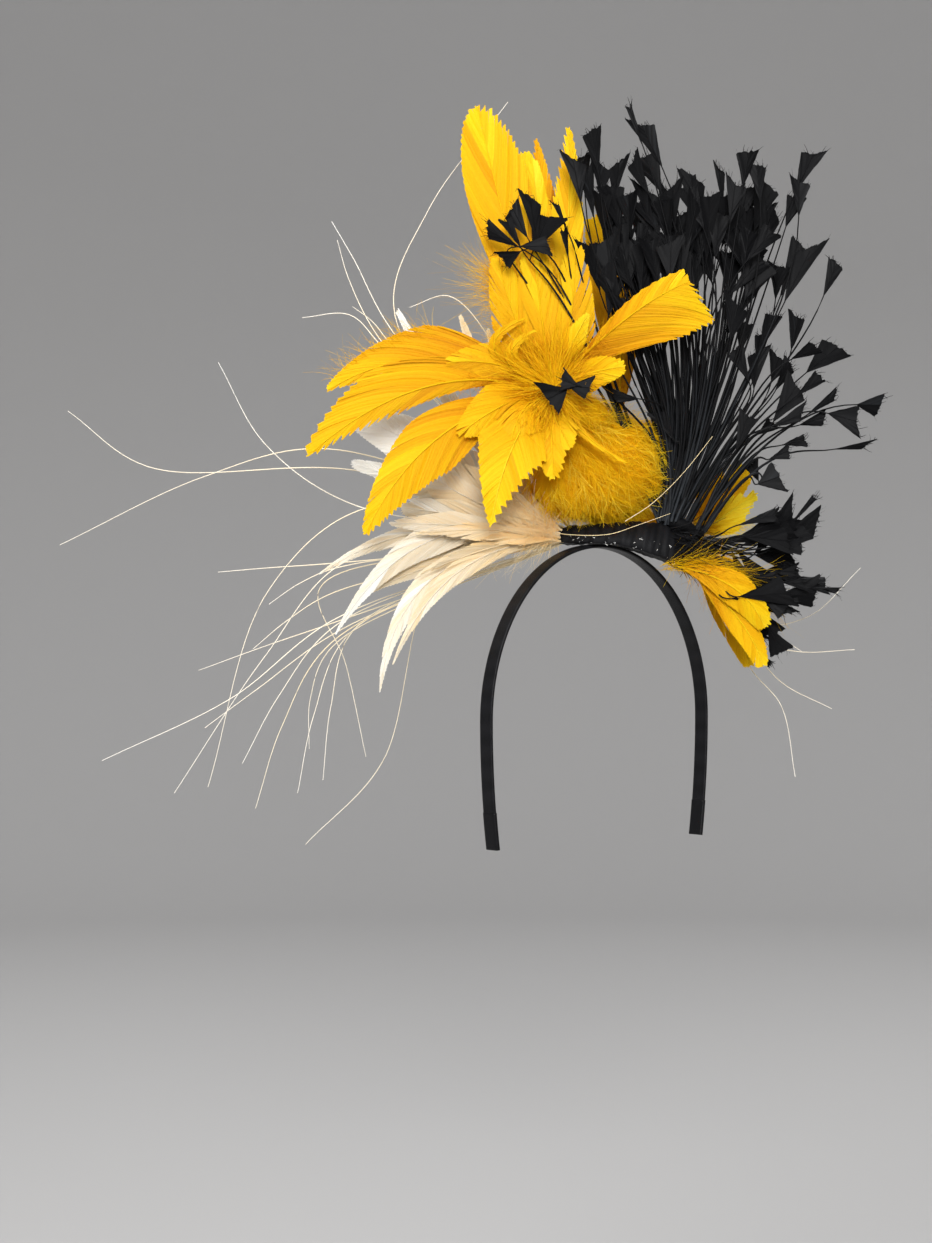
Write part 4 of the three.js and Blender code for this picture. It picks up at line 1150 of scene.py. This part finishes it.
def fan_out(sheaf, dice, table, ridge, ridge_radius, neck, opening):
    """Quills that rise from a bound ridge and pass through a neck on the way to their tips."""
    ridge_share = np.linspace(0, 1, len(ridge))
    hub = neck.mean(axis=0)
    for row in named(QUILL_COLUMNS, table):
        tip = np.array([row["across"], row["away"], row["up"]])
        angle = math.atan2(tip[2] - hub[2], tip[0] - hub[0])
        spot = min(max((opening[0] - angle) / (opening[0] - opening[1]), 0), 1)
        root = np.array([np.interp(0.06 + 0.88 * spot, ridge_share, ridge[:, k]) for k in range(3)])
        root = root + dice.normal(0, [1.2, ridge_radius * 0.5, 0.8])
        through = neck[0] + (neck[1] - neck[0]) * spot + dice.normal(0, [0.8, 1.3, 1]) * ridge_radius
        through[1] += 0.15 * (tip[1] - through[1])
        lean = math.radians(row["lean"])
        way = unit(np.array([math.cos(lean), dice.normal(0, 0.15), math.sin(lean)]))
        start = tip - way * row["long"]
        rise = root + (through - root) * 1.25
        reach = start - way * 0.4 * np.linalg.norm(start - through)
        wedge_quill(sheaf, dice, [root, rise, reach, start], row, way, dice.uniform(-0.6, 0.6))


def short_quill(sheaf, dice, row):
    """A trimmed quill whose stem turns straight back into the flower behind it."""
    tip = np.array([row["across"], row["away"], row["up"]])
    lean = math.radians(row["lean"])
    way = np.array([math.cos(lean), 0.0, math.sin(lean)])
    start = tip - way * row["long"]
    controls = [start + FRONT_STEM, start + FRONT_STEM * 0.6 - way * 2, start - way * 3, start]
    wedge_quill(sheaf, dice, controls, row, way, 0)


def spray(table, dense, extra, seed, ridge_points, ridge_radius, neck, opening):
    """A fan of quills over the ridge that binds them, with the dice and the ridge that made it."""
    sheaf = Sheaf()
    dice = np.random.default_rng(seed)
    ridge = smooth_through(ridge_points, RIDGE_STEPS)
    more = extra_rows(table, dense, extra, neck.mean(axis=0), dice)
    fan_out(sheaf, dice, [*table, *more], ridge, ridge_radius, neck, opening)
    swell = ridge_radius * (0.45 + 0.55 * np.sin(math.pi * np.linspace(0, 1, len(ridge))))
    sheaf.rods(ridge[None], swell, 0.2, sides=16)
    return sheaf, dice, ridge


def base_fuzz(sheaf, dice):
    """Short black barbs that stand back from the cloth at the back end of the base."""
    across = dice.uniform(*FUZZ_RUN, FUZZ_STRANDS)
    reach, up = base_ring(across, dice.uniform(-0.4, 2 * math.pi - 0.4, FUZZ_STRANDS))
    starts = np.stack([across, BASE_CENTRE_AWAY + reach, up], axis=1)
    ways = unit(np.array([1.0, 0.0, 0.0]) + dice.normal(0, 0.22, (FUZZ_STRANDS, 3)))
    lengths = dice.uniform(6, 17, FUZZ_STRANDS)
    tones = dice.uniform(0.1, 0.6, FUZZ_STRANDS)
    sheaf.wisps(dice, starts, ways, lengths, tones, half=0.24, curl=0.25)


upper_shape = [UPPER_RIDGE, UPPER_RIDGE_RADIUS, UPPER_NECK, UPPER_OPEN]
upper_spray, upper_dice, upper_ridge = spray(
    UPPER_QUILLS, UPPER_DENSE_ROWS, UPPER_EXTRA, UPPER_SEED, *upper_shape)
fan_out(upper_spray, upper_dice, LEFT_QUILLS, upper_ridge, UPPER_RIDGE_RADIUS, LEFT_NECK, UPPER_OPEN)
for front_row in named(QUILL_COLUMNS, FRONT_QUILLS):
    short_quill(upper_spray, upper_dice, front_row)
place(upper_spray, "black_spray_quills", black, ["black_spray"])

rear_shape = [REAR_RIDGE, REAR_RIDGE_RADIUS, REAR_NECK, REAR_OPEN]
rear_spray, rear_dice, _ = spray(REAR_QUILLS, REAR_DENSE_ROWS, REAR_EXTRA, REAR_SEED, *rear_shape)
base_fuzz(rear_spray, rear_dice)
place(rear_spray, "black_rear_quills", black, ["black_spray_rear"])


# Whiskers


def whiskers(node, table, head, seed):
    """Bare tapered filaments bound in one small head."""
    sheaf = Sheaf()
    dice = np.random.default_rng(seed)
    for points in table:
        line = smooth_through([head, *points], WHISKER_STEPS)
        tones = np.linspace(0.55, 0.85, len(line)) + dice.normal(0, 0.06)
        sheaf.rods(line[None], np.linspace(*WHISKER_RADII, len(line)), tones[None])
    _, _, ball = ball_grid(12, 18)
    sheaf.add((np.asarray(head) + ball * WHISKER_HEAD_RADIUS)[None, ::-1], 0.3, wrap=True)
    place(sheaf, node + "_quills", filament, [node])


for bundle in WHISKERS:
    whiskers(*bundle)
strand_sheaf = Sheaf()
for strand_points in BASE_STRANDS:
    strand = smooth_through(strand_points, STRAND_STEPS)
    strand_sheaf.rods(strand[None], np.linspace(*STRAND_RADII, len(strand)), 0.4)
place(strand_sheaf, "base_strands", filament, [])


# Headband


def leg_line(share):
    """The underside of the left leg, at shares of the way from the arch down to its end."""
    inset = BAND_TIP_INSET * share**2
    return np.stack([BAND_HALF_SPAN - inset, 0 * share, -BAND_RISE - BAND_DROP * share], axis=1)


def band_run():
    """The underside of the hoop from one end wrap to the other, in the row frame."""
    leg = leg_line(np.linspace(1 - WRAP_LENGTH / BAND_DROP, 0, BAND_LEG_STEPS))
    turn = np.linspace(-math.pi / 2, math.pi / 2, 6 * BAND_LEG_STEPS)[1:-1]
    arc = np.stack([BAND_HALF_SPAN * np.sin(turn), 0 * turn, -BAND_RISE * (1 - np.cos(turn))], axis=1)
    return np.concatenate([leg * MIRROR, arc, leg[::-1]])


def band_skin(run, extra):
    """The covered hoop: a flat section with round edges swept along a run, its ends turned in."""
    along = unit(np.gradient(run, axis=0))
    out = np.cross(along, [0.0, 1.0, 0.0])
    angle = np.linspace(0, 2 * math.pi, BAND_SIDES, endpoint=False)
    wide = np.sign(np.cos(angle)) * np.abs(np.cos(angle))**0.35 * (BAND_WIDTH + extra) / 2
    thick = np.sign(np.sin(angle)) * np.abs(np.sin(angle))**0.6 * (BAND_THICK + extra) / 2
    run = np.concatenate([run[:1], run, run[-1:]])
    out = np.concatenate([out[:1], out, out[-1:]])
    close = np.ones(len(run))
    close[[0, -1]] = 0.1
    middle = run + out * BAND_THICK / 2
    side = (close[:, None] * wide)[..., None] * np.array([0.0, 1.0, 0.0])
    rise = (close[:, None] * thick)[..., None] * out[:, None]
    return (middle[:, None] + side + rise)[None]


band_line = band_run()
band_sheaf = Sheaf()
band_tone = 0.5 + 0.18 * np.sin(np.arange(len(band_line) + 2) * 0.9)[:, None]
band_sheaf.add(band_skin(band_line, 0), band_tone[None], wrap=True)
place(band_sheaf, "headband_satin", satin, ["headband"], turned=False)
wrap_line = leg_line(np.linspace(1 - (WRAP_LENGTH + WRAP_LAP) / BAND_DROP, 1, WRAP_STEPS))
for wrap_node, wrap_run in (("end_wrap_left", wrap_line), ("end_wrap_right", (wrap_line * MIRROR)[::-1])):
    wrap_sheaf = Sheaf()
    wrap_sheaf.add(band_skin(wrap_run, WRAP_EXTRA), 0.4, wrap=True)
    place(wrap_sheaf, wrap_node + "_satin", satin, [wrap_node], turned=False)


# Floor, light and camera


def studio_floor():
    """A pale round floor that sweeps up into a backdrop on every side."""
    profile = [(0.0, 0.0), (FLOOR_FLAT * 2 / 3, 0.0), (FLOOR_FLAT, 0.0)]
    for angle in np.linspace(0.1, math.pi / 2, FLOOR_SWEEP_STEPS):
        profile.append((FLOOR_FLAT + FLOOR_SWEEP * math.sin(angle), FLOOR_SWEEP * (1 - math.cos(angle))))
    profile.append((FLOOR_FLAT + FLOOR_SWEEP, WALL_HEIGHT))
    turn = np.linspace(0, 2 * math.pi, FLOOR_SIDES, endpoint=False)
    grid = [[(r * math.cos(t), r * math.sin(t), h - FLOOR_DROP) for t in turn] for r, h in profile]
    points = np.array(grid).reshape(-1, 3)
    index = np.arange(len(points)).reshape(len(profile), FLOOR_SIDES)
    index = np.concatenate([index, index[:, :1]], axis=1)
    corners = [index[:-1, :-1], index[1:, :-1], index[1:, 1:], index[:-1, 1:]]
    mesh = bpy.data.meshes.new("studio_floor")
    mesh.from_pydata(points, [], np.stack(corners, axis=-1).reshape(-1, 4).tolist())
    mesh.shade_smooth()
    material = new_material("pale_floor")
    shader = material.node_tree.nodes["Principled BSDF"]
    set_inputs(shader, {"Roughness": 0.9})
    shades = add_node(material, "ValToRGB", {})
    for stop, shade in zip(shades.color_ramp.elements, FLOOR_SHADES):
        stop.color = shade
    link(add_node(material, "TexNoise", {"Scale": 2}), "Fac", shades, "Fac")
    link(shades, "Color", shader, "Base Color")
    mesh.materials.append(material)
    floor = put_in_scene("studio_floor", mesh)


def point_along(thing, spot, way):
    """Puts a light or a camera in its spot and has it face along a way."""
    thing.location = spot
    thing.rotation_mode = "QUATERNION"
    thing.rotation_quaternion = Vector(way).to_track_quat("-Z", "Y")


def soft_light(name, azimuth, height, distance, size, power, beam):
    """A square soft light that faces the trim; azimuth 0 is the camera's own side."""
    light = bpy.data.lights.new(name, "AREA")
    light.shape = "SQUARE"
    light.size = size
    light.energy = power
    light.spread = math.radians(beam)
    turn = PHOTO_AZIMUTH + math.radians(azimuth)
    spot = np.array([math.sin(turn) * distance, -math.cos(turn) * distance, height])
    point_along(put_in_scene(name, light), spot, LIGHT_AIM - spot)


studio_floor()
for light_row in LIGHTS:
    soft_light(*light_row)
world = bpy.data.worlds.new("studio")
world.use_nodes = True
set_inputs(world.node_tree.nodes["Background"], {"Color": WORLD_COLOUR, "Strength": WORLD_STRENGTH})
bpy.context.scene.world = world
bpy.context.scene.view_settings.view_transform = "Standard"

camera_data = bpy.data.cameras.new("photo_camera")
camera_data.lens = CAMERA_LENS
camera_data.sensor_width = CAMERA_SENSOR
camera = put_in_scene("photo_camera", camera_data)
look = Vector((math.sin(PHOTO_AZIMUTH), -math.cos(PHOTO_AZIMUTH), 0))
point_along(camera, Vector(CAMERA_AIM) + look * CAMERA_DISTANCE, -look)
bpy.context.scene.camera = camera
